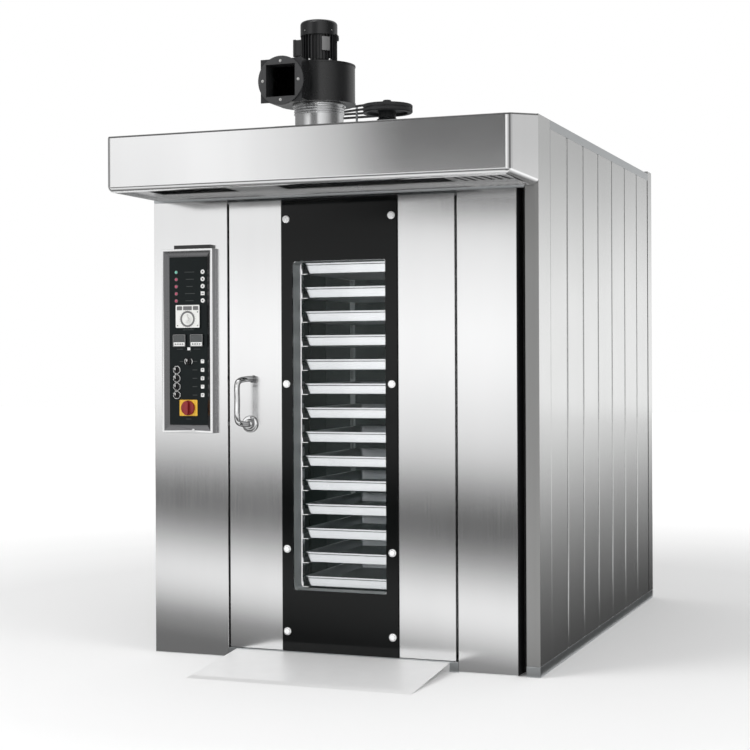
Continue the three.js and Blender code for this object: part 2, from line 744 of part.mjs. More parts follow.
const addHood = () => {
  const hoodRearY = frontY - fit;
  const shellOutline = (inset, bottom) => outline([
    [hoodFrontY + inset, bottom],
    [hoodRearY - inset, bottom],
    [hoodRearY - inset, roofLineZ(hoodRearY - inset) - inset],
    [hoodFrontY + inset, roofLineZ(hoodFrontY + inset) - inset],
  ]);
  const skin = new THREE.Shape();
  skin.moveTo(hoodFrontY + hoodRoll, hoodBottom);
  skin.lineTo(hoodRearY, hoodBottom);
  skin.lineTo(hoodRearY, roofLineZ(hoodRearY));
  skin.lineTo(hoodFrontY, hoodFrontTop);
  skin.lineTo(hoodFrontY, hoodBottom + hoodRoll);
  skin.absarc(hoodFrontY + hoodRoll, hoodBottom + hoodRoll, hoodRoll, Math.PI, Math.PI * 1.5, false);
  const plan = new THREE.Shape();
  plan.moveTo(-halfWidth, hoodRearY);
  plan.lineTo(-halfWidth, hoodFrontY + hoodCorner);
  plan.absarc(-halfWidth + hoodCorner, hoodFrontY + hoodCorner, hoodCorner, Math.PI, Math.PI * 1.5, false);
  plan.lineTo(halfWidth - hoodCorner, hoodFrontY);
  plan.absarc(halfWidth - hoodCorner, hoodFrontY + hoodCorner, hoodCorner, -Math.PI / 2, 0, false);
  plan.lineTo(halfWidth, hoodRearY);
  const shell = shared(sidePiece(skin, -halfWidth, halfWidth), planPiece(plan, hoodBottom - 1, bodyHeight + 1));
  const hollow = sidePiece(
    shellOutline(hoodSheet, hoodBottom + grilleRecess + grilleThickness),
    -halfWidth + hoodSheet, halfWidth - hoodSheet);
  const mouth = block(
    -halfWidth + hoodLip, halfWidth - hoodLip, hoodFrontY + hoodLip, hoodRearY - hoodLip,
    hoodBottom - 1, hoodBottom + grilleRecess + grilleThickness + 1);
  const inletHole = cylinder(collarDiameter / 2 - collarSheet, hoodBottom + hoodLip, bodyHeight, 16)
    .translate(axisX, blowerY, 0);

  // The blower's spigot: a beaded tube that stands on the slope, with a turned flange on top
  const outer = collarDiameter / 2;
  const inner = outer - collarSheet;
  const spigotBase = roofLineZ(blowerY - outer) - hoodSheet / 2;
  const flangeBottom = collarTop - collarFlangeHeight;
  const beadPitch = beadRadius * 2.5;
  const valley = outer - beadRadius;
  const profile = [[inner, spigotBase], [valley, spigotBase]];
  for (let i = beadCount; i > 0; i -= 1) {
    const z = flangeBottom - i * beadPitch;
    profile.push([valley, z - beadPitch / 2], [outer, z]);
  }
  profile.push(
    [valley, flangeBottom - beadPitch / 2], [valley, flangeBottom], [outer + collarFlange, flangeBottom],
    [outer + collarFlange, collarTop], [inner, collarTop], [inner, spigotBase]);
  const spigot = turned(profile, 16).translate(axisX, blowerY, 0);
  const collarUnderside = sidePiece(outline([
    [hoodFrontY, hoodBottom],
    [hoodRearY, hoodBottom],
    [hoodRearY, roofLineZ(hoodRearY) - hoodSheet / 2],
    [hoodFrontY, roofLineZ(hoodFrontY) - hoodSheet / 2],
  ]), -halfWidth, halfWidth);
  add('hood', join(cut(shell, hollow, mouth, inletHole), cut(spigot, collarUnderside)), brushedSteel);

  const grilleZ = hoodBottom + grilleRecess;
  const grille = block(
    -halfWidth + hoodLip + fit, halfWidth - hoodLip - fit,
    hoodFrontY + hoodLip + fit, hoodRearY - hoodLip - fit, grilleZ, grilleZ + grilleThickness);
  const y0 = (hoodFrontY + hoodRearY - intakeDepth) / 2;
  const y1 = y0 + intakeDepth;
  const throughGrille = [grilleZ - 1, grilleZ + grilleThickness + 1];
  const [leftFrom, leftTo] = leftIntake.map((inset) => -halfWidth + inset);
  const [rightFrom, rightTo] = rightIntake.map((inset) => halfWidth - inset);
  const mouths = [
    block(leftFrom, leftTo, y0, y1, ...throughGrille),
    block(rightFrom, rightTo, y0, y1, ...throughGrille),
  ];
  for (let i = 0; i < louvreCount; i += 1) {
    const x = halfWidth - louvreInset - i * louvrePitch;
    mouths.push(planPiece(outline([
      [x - louvreWidth, y0],
      [x, y0],
      [x + louvreWidth, y1],
      [x, y1],
    ]), ...throughGrille));
  }
  add('hood_grille', cut(grille, ...mouths), brushedSteel);
};

// Steam blower: spiral casing, fan wheel and finned motor

const addBlower = () => {
  const bottom = collarTop + fit;
  const outletX0 = -scrollRadius - scrollGrowth / 2;
  const outletX1 = outletX0 + outletPlate - casingSheet;
  const scroll = (inset) => {
    const points = [];
    const tongue = -Math.acos(outletX1 / scrollRadius);
    const steps = 20;
    for (let i = 0; i <= steps; i += 1) {
      const angle = tongue + (Math.PI - tongue) * (i / steps);
      const radius = scrollRadius + (scrollGrowth * angle) / (2 * Math.PI) - inset;
      points.push([radius * Math.cos(angle), radius * Math.sin(angle)]);
    }
    return points;
  };
  const casingShape = (inset, reach) => outline([
    ...scroll(inset),
    [outletX0 + inset, -reach],
    [outletX1 - inset, -reach],
  ]);
  const plateY = -outletReach;
  const outside = planPiece(casingShape(0, outletReach - 1), bottom, casingTop);
  const inside = planPiece(
    casingShape(casingSheet, outletReach - outletPlateThickness),
    bottom + casingSheet, casingTop - casingSheet);
  const inlet = cylinder(collarDiameter / 2 - collarSheet - 2, bottom - 1, bottom + casingSheet + 1, 16);
  const shaftHole = cylinder(blowerShaft / 2 + 2, casingTop - casingSheet - 1, casingTop + 1, 16);

  const outletX = (outletX0 + outletX1) / 2;
  const outletZ = bottom + casingHeight / 2 - outletDrop;
  const squarePlate = block(
    outletX - outletPlate / 2, outletX + outletPlate / 2, plateY, plateY + outletPlateThickness,
    outletZ - outletPlateHeight / 2, outletZ + outletPlateHeight / 2);
  const ring = facingFront(cylinder(outletFlange / 2, 0, outletPlateThickness + 1, 24))
    .translate(outletX, plateY + 1, outletZ);
  const bolts = [0, 1, 2, 3].map((quarter) => {
    const angle = (quarter * Math.PI) / 2;
    return facingFront(cylinder(outletBolt / 2, 0, outletPlateThickness + 6, 6)).translate(
      outletX + (outletBoltCircle / 2) * Math.cos(angle), plateY + 1,
      outletZ + (outletBoltCircle / 2) * Math.sin(angle));
  });
  const bore = block(
    outletX - outletWidth / 2, outletX + outletWidth / 2,
    plateY - outletPlateThickness - 8, plateY + outletPlateThickness + 1,
    outletZ - outletHeight / 2, outletZ + outletHeight / 2);
  const casing = cut(join(outside, squarePlate, ring, ...bolts), inside, inlet, shaftHole, bore);
  add('exhaust_volute', casing, blackPaint, [axisX, blowerY, 0]);

  const wheelTop = casingTop - casingSheet - impellerGap;
  const shaftTop = casingTop + blowerShaftRise;
  add('exhaust_impeller',
    fanWheel(impellerDiameter / 2, impellerHeight, wheelTop, blowerShaft / 2, shaftTop, bladeCount),
    galvanised, [axisX, blowerY, 0]);

  const motorBottom = casingTop + fit;
  const radius = motorDiameter / 2;
  const foot = turned([
    [0, motorBottom],
    [motorFlange / 2, motorBottom],
    [motorFlange / 2, motorBottom + 10],
    [radius - finDepth, motorBottom + 16],
    [0, motorBottom + 16],
  ], 20);
  const finShape = [];
  for (let i = 0; i < finCount; i += 1) {
    const middle = (i / finCount) * Math.PI * 2;
    const half = Math.PI / finCount;
    [[-0.5, 0], [-0.28, 1], [0.28, 1], [0.5, 0]].forEach(([share, rise]) => {
      const angle = middle + share * half;
      const r = radius - finDepth + rise * finDepth;
      finShape.push([r * Math.cos(angle), r * Math.sin(angle)]);
    });
  }
  const cowlBottom = motorBottom + motorLength;
  const fins = planPiece(outline(finShape), motorBottom + 12, cowlBottom + 1);
  const cowl = turned([
    [0, cowlBottom],
    [radius + 1, cowlBottom],
    [radius + 1, cowlBottom + cowlHeight - 12],
    [radius - 12, cowlBottom + cowlHeight],
    [0, cowlBottom + cowlHeight],
  ], 20);
  const terminalBox = block(
    -radius - terminalReach, -radius + 12, -terminalWidth / 2, terminalWidth / 2,
    motorBottom + terminalRise, motorBottom + terminalRise + terminalHeight);
  const eye = block(
    radius - 4, radius + eyeReach, -eyeWidth / 2, eyeWidth / 2, cowlBottom + 6, cowlBottom + 15);
  const shaftBore = cylinder(holeRadius(blowerShaft, 16), motorBottom - 1, shaftTop + 6, 16);
  add('exhaust_motor', cut(join(foot, fins, cowl, terminalBox, eye), shaftBore), blackPaint,
    [axisX, blowerY, 0]);
};

// A fan wheel with its back plate at the top, a ring at the bottom and a shaft that rises out of it
function fanWheel(radius, height, top, shaftRadius, shaftTop, blades) {
  const backPlate = cylinder(radius, top - bladeThickness, top, 16);
  const eyeRadius = radius * 0.68;
  const ring = turned([
    [eyeRadius, top - height],
    [radius, top - height],
    [radius, top - height + bladeThickness],
    [eyeRadius, top - height + bladeThickness],
    [eyeRadius, top - height],
  ], 16);
  const bladeLength = radius - eyeRadius + radius * 0.08;
  const wheel = [backPlate, ring, cylinder(shaftRadius, top - 40, shaftTop, 12),
    cylinder(shaftRadius + 10, top - 34, top - 1, 12)];
  for (let i = 0; i < blades; i += 1) {
    wheel.push(
      block(-bladeLength / 2, bladeLength / 2, -bladeThickness / 2, bladeThickness / 2,
        top - height + 1, top - 1)
        .rotateZ(0.5)
        .translate(radius - bladeLength / 2 - 2, 0, 0)
        .rotateZ((i / blades) * Math.PI * 2));
  }
  return join(...wheel);
}

// Rack drive: bearing, two-belt pulley on the rack's shaft, gearmotor and belt

const addDrive = () => {
  const shaftRoom = holeRadius(driveShaft, 16);
  const roofTop = bodyHeight + fit;
  const bearing = turned([
    [shaftRoom, roofTop],
    [bearingFlange / 2, roofTop],
    [bearingFlange / 2, roofTop + 12],
    [bearingDiameter / 2 + 8, roofTop + 20],
    [bearingDiameter / 2, roofTop + 34],
    [bearingDiameter / 2, bearingTop - 8],
    [bearingDiameter / 2 - 6, bearingTop],
    [shaftRoom, bearingTop],
    [shaftRoom, roofTop],
  ], 16);
  add('spindle_bearing', bearing, blackPaint, [axisX, rackY, 0]);

  const beltLevels = [-0.5, 0.5].map((side) => pulleyBottom + pulleyHeight / 2 + side * beltSpacing);
  const pulley = (diameter, boreRadius, hubRadius, hubBottom, sides) => {
    const rim = diameter / 2;
    const profile = [
      [boreRadius, hubBottom],
      [hubRadius, hubBottom],
      [hubRadius, pulleyBottom],
      [rim, pulleyBottom],
    ];
    beltLevels.forEach((z) => {
      profile.push([rim, z - beltWidth / 2 - fit], [rim - beltDepth, z - beltWidth / 4]);
      profile.push([rim - beltDepth, z + beltWidth / 4], [rim, z + beltWidth / 2 + fit]);
    });
    profile.push([rim, pulleyBottom + pulleyHeight], [boreRadius, pulleyBottom + pulleyHeight]);
    profile.push([boreRadius, hubBottom]);
    return turned(profile, sides);
  };
  add('rack_pulley', pulley(pulleyDiameter, shaftRoom, pulleyHub / 2, bearingTop + 4, 20), blackPaint,
    [axisX, rackY, 0]);
  const gearboxTop = bearingTop - gearboxDrop;
  const shaftEnd = gearboxTop - gearmotorShaftDepth;
  const smallWheel = join(
    pulley(smallPulleyDiameter, gearmotorShaft / 2 - 2, gearmotorShaft, gearboxTop + 6, 16),
    cylinder(gearmotorShaft / 2, shaftEnd, pulleyBottom + pulleyHeight + 6, 16));
  add('gearmotor_pulley', smallWheel, blackPaint, [smallPulleyX, smallPulleyY, 0]);

  // Each belt rides in its grooves; a thin web joins the two into one banded belt
  const run = new THREE.Vector2(gearmotorX, gearmotorY);
  const reach = run.length();
  const lean = Math.acos((pulleyDiameter - smallPulleyDiameter) / 2 / reach);
  const loop = (inset) => {
    const big = pulleyDiameter / 2 + inset;
    const small = smallPulleyDiameter / 2 + inset;
    const shape = new THREE.Shape();
    shape.absarc(0, 0, big, lean, Math.PI * 2 - lean, false);
    shape.absarc(reach, 0, small, -lean, lean, false);
    shape.closePath();
    return shape;
  };
  const band = (outer, inner, z0, z1) => {
    const shape = loop(outer);
    shape.holes.push(loop(inner));
    return extrude(shape, z1 - z0, 6).translate(0, 0, z0);
  };
  const ribs = beltLevels.map((z) => band(beltDepth * 0.3, fit + 1, z - beltWidth / 2, z + beltWidth / 2));
  const web = band(beltDepth * 0.3 - 0.6, fit + 1.2, beltLevels[0], beltLevels[1]);
  const belt = join(...ribs, web).rotateZ(run.angle());
  add('drive_belt', belt, sealRubber, [axisX, rackY, 0]);

  const gearbox = block(
    -gearboxSize / 2, gearboxSize / 2, -gearboxSize / 2, gearboxSize / 2, roofTop, gearboxTop);
  const motor = turned([
    [0, 0],
    [gearmotorDiameter / 2, 0],
    [gearmotorDiameter / 2, gearmotorLength - 10],
    [gearmotorDiameter / 2 - 12, gearmotorLength],
    [0, gearmotorLength],
  ], 24).rotateX(-Math.PI / 2).translate(0, gearboxSize / 2 - 5, roofTop + gearmotorDiameter / 2);
  const outputBore = cylinder(holeRadius(gearmotorShaft, 16), shaftEnd - 6, gearboxTop + 1, 16);
  add('rack_gearmotor', cut(join(gearbox, motor), outputBore), blackPaint,
    [smallPulleyX, smallPulleyY, 0]);
};

// Rack: shaft with its hanger, tube frame with L rails, castors and trays

const addRack = () => {
  const halfRack = rackWidth / 2;
  const halfLength = trayLength / 2;
  const rackBottom = lowestRail - railSheet - fit - rackTube;
  const place = [axisX, rackY, 0];

  const barBottom = rackTop + fit;
  const barTop = barBottom + hangerBar;
  const tubeUnderside = rackTop - rackTube;
  const hookOut = halfRack + fit + hookSheet;
  const hookIn = halfRack - rackTube * 0.5;
  const hangerShape = outline([
    [-hookOut, tubeUnderside - fit - hookSheet],
    [-hookIn, tubeUnderside - fit - hookSheet],
    [-hookIn, tubeUnderside - fit],
    [-halfRack - fit, tubeUnderside - fit],
    [-halfRack - fit, barBottom],
    [halfRack + fit, barBottom],
    [halfRack + fit, tubeUnderside - fit],
    [hookIn, tubeUnderside - fit],
    [hookIn, tubeUnderside - fit - hookSheet],
    [hookOut, tubeUnderside - fit - hookSheet],
    [hookOut, barTop],
    [-hookOut, barTop],
  ]);
  const hanger = frontPiece(hangerShape, -hangerWidth / 2, hangerWidth / 2);
  const pulleyTop = pulleyBottom + pulleyHeight;
  const shaft = turned([
    [0, barTop - 1],
    [driveShaft * 1.5, barTop - 1],
    [driveShaft * 1.5, barTop + 10],
    [driveShaft / 2, barTop + 30],
    [driveShaft / 2, pulleyTop + fit],
    [shaftNut / 2, pulleyTop + fit],
    [shaftNut / 2, pulleyTop + 16],
    [shaftNut / 2 - 4, pulleyTop + 22],
    [0, pulleyTop + 22],
  ], 16);
  add('rack_spindle', join(hanger, shaft), galvanised, place);

  const pieces = [];
  const post = halfRack - rackTube;
  const railEnd = halfLength - 2;
  [-1, 1].forEach((sx) => {
    const [x0, x1] = sx < 0 ? [-halfRack, -post] : [post, halfRack];
    [-1, 1].forEach((sy) => {
      const [y0, y1] = sy < 0 ? [-halfLength, -halfLength + rackTube] : [halfLength - rackTube, halfLength];
      pieces.push(block(x0, x1, y0, y1, rackBottom, rackTop));
    });
    pieces.push(block(x0, x1, -halfLength, halfLength, rackBottom, rackBottom + rackTube));
    pieces.push(block(x0, x1, -halfLength, halfLength, rackTop - rackTube, rackTop));
    for (let level = 0; level < levelCount; level += 1) {
      const railTop = lowestRail - fit + level * trayPitch;
      const angle = [
        [sx * post, railTop - railSheet],
        [sx * (post - railLeg), railTop - railSheet],
        [sx * (post - railLeg), railTop],
        [sx * (post - railSheet), railTop],
        [sx * (post - railSheet), railTop + railRise],
        [sx * post, railTop + railRise],
      ];
      pieces.push(frontPiece(outline(sx < 0 ? angle.reverse() : angle), -railEnd, railEnd));
    }
  });
  [-1, 1].forEach((sy) => {
    const [y0, y1] = sy < 0 ? [-halfLength, -halfLength + rackTube] : [halfLength - rackTube, halfLength];
    pieces.push(block(-halfRack, halfRack, y0, y1, rackBottom, rackBottom + rackTube));
    pieces.push(block(-halfRack, halfRack, y0, y1, rackTop - rackTube, rackTop));
  });
  // Rear cross bar that stops the trays
  const stopZ = (rackBottom + rackTop) / 2;
  const stopSpan = [stopZ - stopBar / 2, stopZ + stopBar / 2];
  pieces.push(block(-halfRack, halfRack, halfLength + 1, halfLength + 7, ...stopSpan));
  [-1, 1].forEach((sx) => {
    const [x0, x1] = sx < 0 ? [-halfRack, -post] : [post, halfRack];
    pieces.push(block(x0, x1, halfLength - 1, halfLength + 7, ...stopSpan));
  });

  // Castors: the rear pair is fixed to the frame, the front pair swivels
  const axleZ = baseHeight + wheelLift + wheelDiameter / 2;
  const crownZ = axleZ + wheelDiameter / 2 + wheelGap;
  const forkHalf = wheelWidth / 2 + wheelGap + forkSheet;
  const fork = (crownTop) => {
    const cheekShape = outline([
      [wheelTrail - 13, axleZ - 12],
      [wheelTrail + 13, axleZ - 12],
      [wheelTrail + 13, axleZ + 4],
      [24, crownZ + forkSheet],
      [-24, crownZ + forkSheet],
      [wheelTrail - 13, axleZ + 4],
    ]);
    const cheek = (x) => sidePiece(cheekShape, x, x + forkSheet);
    return join(
      cheek(-forkHalf), cheek(forkHalf - forkSheet),
      block(-forkHalf, forkHalf, -24, 24, crownZ, crownTop),
      facingRight(cylinder(axlePin / 2, -forkHalf, forkHalf, 8)).translate(0, wheelTrail, axleZ));
  };
  const padTop = rackBottom + 1;
  const fixedFork = fork(padTop);
  const crossBar = (y) => block(-halfRack + 1, halfRack - 1, y - 24, y + 24, rackBottom, rackBottom + rackTube);
  pieces.push(crossBar(castorY), crossBar(-castorY));
  [-1, 1].forEach((sx) => {
    pieces.push(fixedFork.clone().translate(sx * castorX, castorY - wheelTrail, 0));
    pieces.push(cylinder(swivelPin / 2, rackBottom - 6, padTop, 12).translate(sx * castorX, -castorY, 0));
  });
  add('rack_frame', join(...pieces), polishedSteel, place);

  const axleBore = holeRadius(axlePin, 12);
  const wheel = facingRight(turned([
    [axleBore, -wheelWidth / 2],
    [wheelDiameter / 2 - 4, -wheelWidth / 2],
    [wheelDiameter / 2, -wheelWidth / 2 + 4],
    [wheelDiameter / 2, wheelWidth / 2 - 4],
    [wheelDiameter / 2 - 4, wheelWidth / 2],
    [axleBore, wheelWidth / 2],
    [axleBore, -wheelWidth / 2],
  ], 12));
  const swivelFork = cut(
    fork(rackBottom - fit),
    cylinder(swivelPin / 2 + 2 * fit, rackBottom - 6 - fit, rackBottom + 1, 12));
  ['left', 'right'].forEach((side, i) => {
    const x = (i * 2 - 1) * castorX;
    add(`front_${side}_castor_fork`, swivelFork, galvanised, [axisX + x, rackY - castorY, 0]);
    add(`front_${side}_castor_wheel`, wheel, blackPlastic,
      [axisX + x, rackY - castorY + wheelTrail, axleZ]);
    add(`rear_${side}_castor_wheel`, wheel, blackPlastic, [axisX + x, rackY + castorY, axleZ]);
  });

  // Trays, from the second level up
  const trayLoft = (inset, bottom, top) => {
    const loft = extrude(
      roundedBox(trayWidth - 2 * (inset + trayRim), trayLength - 2 * (inset + trayRim), trayCorner),
      top - bottom, 1);
    const vertices = loft.attributes.position;
    for (let i = 0; i < vertices.count; i += 1) {
      const narrowing = trayTaper * (1 - (vertices.getZ(i) + bottom) / trayHeight);
      const x = vertices.getX(i);
      const y = vertices.getY(i);
      vertices.setXY(i, x - Math.sign(x) * narrowing, y - Math.sign(y) * narrowing);
    }
    return loft.translate(0, 0, bottom);
  };
  const rim = extrude(roundedBox(trayWidth, trayLength, trayCorner + trayRim), 4, 1)
    .translate(0, 0, trayHeight - 4);
  const tray = cut(join(trayLoft(0, 0, trayHeight), rim), trayLoft(traySheet, traySheet, trayHeight + 1));
  const firstLevel = levelCount - trayCount;
  for (let i = 0; i < trayCount; i += 1) {
    const z = lowestRail + (firstLevel + i) * trayPitch;
    add(`tray_${i + 1}`, tray, traySteel, [axisX, rackY, z]);
  }
};

// Air system round the chamber

const addAirSystem = () => {
  const chamberBottom = baseHeight + fit;
  const chamberTop = ceiling - fit;
  const fromY = frameRearY + fit;
  const baffle = (x) => {
    const length = bulkheadY - fit - fromY;
    const height = chamberTop - chamberBottom;
    const slots = [];
    for (let row = 0; row < slotRows; row += 1) {
      for (let column = 0; column < slotColumns; column += 1) {
        const y = fromY + slotMargin + ((column + 0.5) / slotColumns) * (length - 2 * slotMargin);
        const z = chamberBottom + slotMargin + ((row + 0.5) / slotRows) * (height - 2 * slotMargin);
        slots.push(block(
          x - 1, x + baffleSheet + 1, y - slotWidth / 2, y + slotWidth / 2,
          z - slotHeight / 2, z + slotHeight / 2));
      }
    }
    return cut(block(x, x + baffleSheet, fromY, bulkheadY - fit, chamberBottom, chamberTop), ...slots);
  };
  add('left_air_baffle', baffle(axisX - baffleOffset - baffleSheet), brushedSteel);
  add('right_air_baffle', baffle(axisX + baffleOffset), brushedSteel);

  // Bulkhead behind the chamber, with air windows at both sides
  const windows = [];
  const windowPitch = (chamberTop - chamberBottom) / windowCount;
  [
    [-innerX + windowMargin, axisX - baffleOffset - windowMargin],
    [axisX + baffleOffset + windowMargin, innerX - windowMargin],
  ].forEach(([x0, x1]) => {
    for (let i = 0; i < windowCount; i += 1) {
      const z0 = chamberBottom + i * windowPitch + windowBar / 2;
      const z1 = z0 + windowPitch - windowBar;
      windows.push(block(x0, x1, bulkheadY - 1, bulkheadY + bulkheadSheet + 1, z0, z1));
    }
  });
  const panel = block(
    -innerX + fit, innerX - fit, bulkheadY, bulkheadY + bulkheadSheet, chamberBottom, chamberTop);
  add('bulkhead', cut(panel, ...windows), sideSteel);

  // Heating tubes: a row of hairpins on one flange, seated on the bulkhead
  const flangeY = bulkheadY + bulkheadSheet + fit;
  const hairpin = (z) => tube([
    [-heaterBend, flangeY + 1, z],
    [-heaterBend, flangeY + heaterReach * 0.45, z],
    [-heaterBend, flangeY + heaterReach - heaterBend, z],
    [-heaterBend * 0.7, flangeY + heaterReach - heaterBend * 0.3, z],
    [0, flangeY + heaterReach, z],
    [heaterBend * 0.7, flangeY + heaterReach - heaterBend * 0.3, z],
    [heaterBend, flangeY + heaterReach - heaterBend, z],
    [heaterBend, flangeY + heaterReach * 0.45, z],
    [heaterBend, flangeY + 1, z],
  ], heaterTube / 2, 8, 3).translate(axisX, 0, 0);
  const firstTubeZ = chamberBottom + heaterStart;
  const lastTubeZ = firstTubeZ + (heaterRows - 1) * heaterPitch;
  const tubes = Array.from({ length: heaterRows }, (_, row) => hairpin(firstTubeZ + row * heaterPitch));
  const flange = block(
    axisX - heaterBend - heaterFlange / 2, axisX + heaterBend + heaterFlange / 2,
    flangeY, flangeY + heaterFlangeSheet, firstTubeZ - heaterFlange / 2, lastTubeZ + heaterFlange / 2);
  add('heater_bank', join(flange, ...tubes), heaterSteel);

  const fanY = frontY + circulationSetback;
  const motorBottom = chamberTop - circulationMotorLength;
  const motor = turned([
    [0, motorBottom],
    [circulationMotor / 2, motorBottom],
    [circulationMotor / 2, chamberTop - 16],
    [circulationMotor / 2 + 30, chamberTop - 12],
    [circulationMotor / 2 + 30, chamberTop],
    [0, chamberTop],
  ], 18);
  const bore = cylinder(circulationShaft / 2 + fit, motorBottom - 1, motorBottom + 66, 16);
  add('circulation_motor', cut(motor, bore), blackPaint, [axisX, fanY, 0]);
  const wheel = fanWheel(circulationFan / 2, circulationFanHeight, motorBottom - 20,
    circulationShaft / 2, motorBottom + 60, 7);
  add('circulation_impeller', wheel, galvanised, [axisX, fanY, 0]);
};

addCabinet();
addRoof();
addDoor();
addHandle();
addControls();
addRamp();
addHood();
addBlower();
addDrive();
addRack();
addAirSystem();

export default oven;
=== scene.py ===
# Rotating rack oven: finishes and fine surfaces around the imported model. Metres, +Z up, -Y out of the door.
import math

import bmesh
import bpy
from mathutils import Matrix, Vector


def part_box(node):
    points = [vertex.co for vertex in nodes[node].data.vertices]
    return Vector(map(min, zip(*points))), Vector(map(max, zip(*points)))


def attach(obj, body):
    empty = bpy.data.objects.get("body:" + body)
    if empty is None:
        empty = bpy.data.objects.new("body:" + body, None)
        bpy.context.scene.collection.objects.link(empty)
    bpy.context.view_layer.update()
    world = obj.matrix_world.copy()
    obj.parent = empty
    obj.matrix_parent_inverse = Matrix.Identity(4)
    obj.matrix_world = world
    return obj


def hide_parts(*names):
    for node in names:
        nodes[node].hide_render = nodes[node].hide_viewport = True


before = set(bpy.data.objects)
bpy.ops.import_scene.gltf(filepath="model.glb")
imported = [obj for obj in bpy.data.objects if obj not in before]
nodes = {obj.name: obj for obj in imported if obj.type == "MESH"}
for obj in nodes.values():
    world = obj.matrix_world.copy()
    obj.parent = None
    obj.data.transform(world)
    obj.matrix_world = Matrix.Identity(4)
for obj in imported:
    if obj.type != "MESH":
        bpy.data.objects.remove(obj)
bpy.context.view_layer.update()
bpy.context.scene.view_settings.view_transform = "Standard"
print("frame loaded:", len(nodes), "nodes")


# ---- places read from the frame

def middle(node):
    low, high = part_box(node)
    return (low + high) / 2


cabinetLow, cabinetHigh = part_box("roof")
frontY = cabinetLow.y
rackAxis = middle("rack_pulley")
blowerAxis = middle("exhaust_impeller")
toFront, upward = (0, -1, 0), (0, 0, 1)


# ---- mesh tools

bevelProfile = 0.6
sharpCorner = 0.6  # radians between two faces


def polar(centre, radius, angle):
    return (centre[0] + radius * math.cos(angle), centre[1] + radius * math.sin(angle))


def evenAngles(count, start=0.0):
    return [start + 2 * math.pi * i / count for i in range(count)]


def cornerNormals(bm):
    # weighted by area, so that a flat sheet stays flat up to its rounded edges
    bm.faces.index_update()
    weights = [face.normal * face.calc_area() for face in bm.faces]
    corners = {}
    for vert in bm.verts:
        groups = {face.index: face.index for face in vert.link_faces}
        for edge in vert.link_edges:
            if edge.smooth:
                kept, joined = (groups[face.index] for face in edge.link_faces)
                if kept != joined:
                    groups = {face: kept if group == joined else group for face, group in groups.items()}
        sums = {}
        for face, group in groups.items():
            sums[group] = sums.get(group, Vector()) + weights[face]
        for face, group in groups.items():
            corners[face, vert.index] = sums[group].normalized()
    return [corners[face.index, vert.index] for face in bm.faces for vert in face.verts]


def finishMesh(bm, name, sharpAngle=32):
    bmesh.ops.recalc_face_normals(bm, faces=bm.faces)
    limit = math.radians(sharpAngle)
    for edge in bm.edges:
        edge.smooth = len(edge.link_faces) == 2 and edge.calc_face_angle() < limit
    bm.verts.index_update()
    normals = cornerNormals(bm)
    mesh = bpy.data.meshes.new(name)
    bm.to_mesh(mesh)
    bm.free()
    mesh.polygons.foreach_set("use_smooth", [True] * len(mesh.polygons))
    mesh.normals_split_custom_set(normals)
    return mesh


def place(name, mesh, material, body, replaced=(), at=(0, 0, 0)):
    piece = bpy.data.objects.new(name, mesh)
    piece.location = at
    bpy.context.scene.collection.objects.link(piece)
    if material and not mesh.materials:
        mesh.materials.append(material)
    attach(piece, body)
    if replaced:
        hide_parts(*replaced)
    return piece


def addPiece(bm, name, finish, replaced=(), body="cabinet", sharpAngle=32):
    return place(name, finishMesh(bm, name, sharpAngle), finishes[finish], body, replaced)


def addLoops(bm, loops, closeStart=True, closeEnd=True):
    rings = [[bm.verts.new(point) for point in loop] for loop in loops]
    for ring, following in zip(rings, rings[1:]):
        for i in range(len(ring)):
            j = (i + 1) % len(ring)
            bm.faces.new((ring[i], ring[j], following[j], following[i]))
    if closeStart:
        bm.faces.new(list(reversed(rings[0])))
    if closeEnd:
        bm.faces.new(rings[-1])
    return rings


def joinEnds(bm, rings):
    for first, last in zip(rings[0], rings[-1]):
        bmesh.ops.weld_verts(bm, targetmap={last: first})


def bevelThese(bm, edges, width, segments=2, clamped=False):
    bmesh.ops.bevel(bm, geom=list(edges), offset=width, segments=segments, affect="EDGES",
                    profile=bevelProfile, clamp_overlap=clamped)


def bevelEdges(bm, width, angle=1.2, longerThan=0.0, segments=2):
    edges = [edge for edge in bm.edges if edge.calc_face_angle(0) > angle and edge.calc_length() > longerThan]
    bevelThese(bm, edges, width, segments, True)


def ringEdges(rings):
    return {edge for ring in rings for vert in ring for edge in vert.link_edges}


def addBox(bm, low, high, bevel=0.0, segments=2):
    x0, y0, z0 = low
    x1, y1, z1 = high
    rings = addLoops(bm, [[(x0, y0, z), (x1, y0, z), (x1, y1, z), (x0, y1, z)] for z in (z0, z1)])
    if bevel:
        bevelThese(bm, ringEdges(rings), bevel, segments)


def addTurned(bm, profile, centre=(0, 0, 0), direction=(0, 0, 1), sides=48, closed=False):
    # profile of (radius, height) pairs; an open one starts and ends close to the axis
    lean = Vector((0, 0, 1)).rotation_difference(Vector(direction))
    turn = Matrix.Translation(centre) @ lean.to_matrix().to_4x4()
    points = list(profile) + ([profile[0]] if closed else [])
    loops = [[turn @ Vector((*polar((0, 0), radius, angle), height)) for angle in evenAngles(sides)]
             for radius, height in points]
    rings = addLoops(bm, loops, not closed, not closed)
    if closed:
        joinEnds(bm, rings)


def lift(u, v, w, across):
    # a point drawn in a plane, set at w along the axis across that plane
    return {"z": (u, v, w), "x": (w, u, v), "y": (u, w, v)}[across]


def addPrism(bm, outline, start, end, across="z", bevel=0.0):
    rings = addLoops(bm, [[lift(u, v, w, across) for u, v in outline] for w in (start, end)])
    if bevel:
        bevelThese(bm, [edge for edge in ringEdges(rings) if edge.calc_face_angle(0) > sharpCorner], bevel)


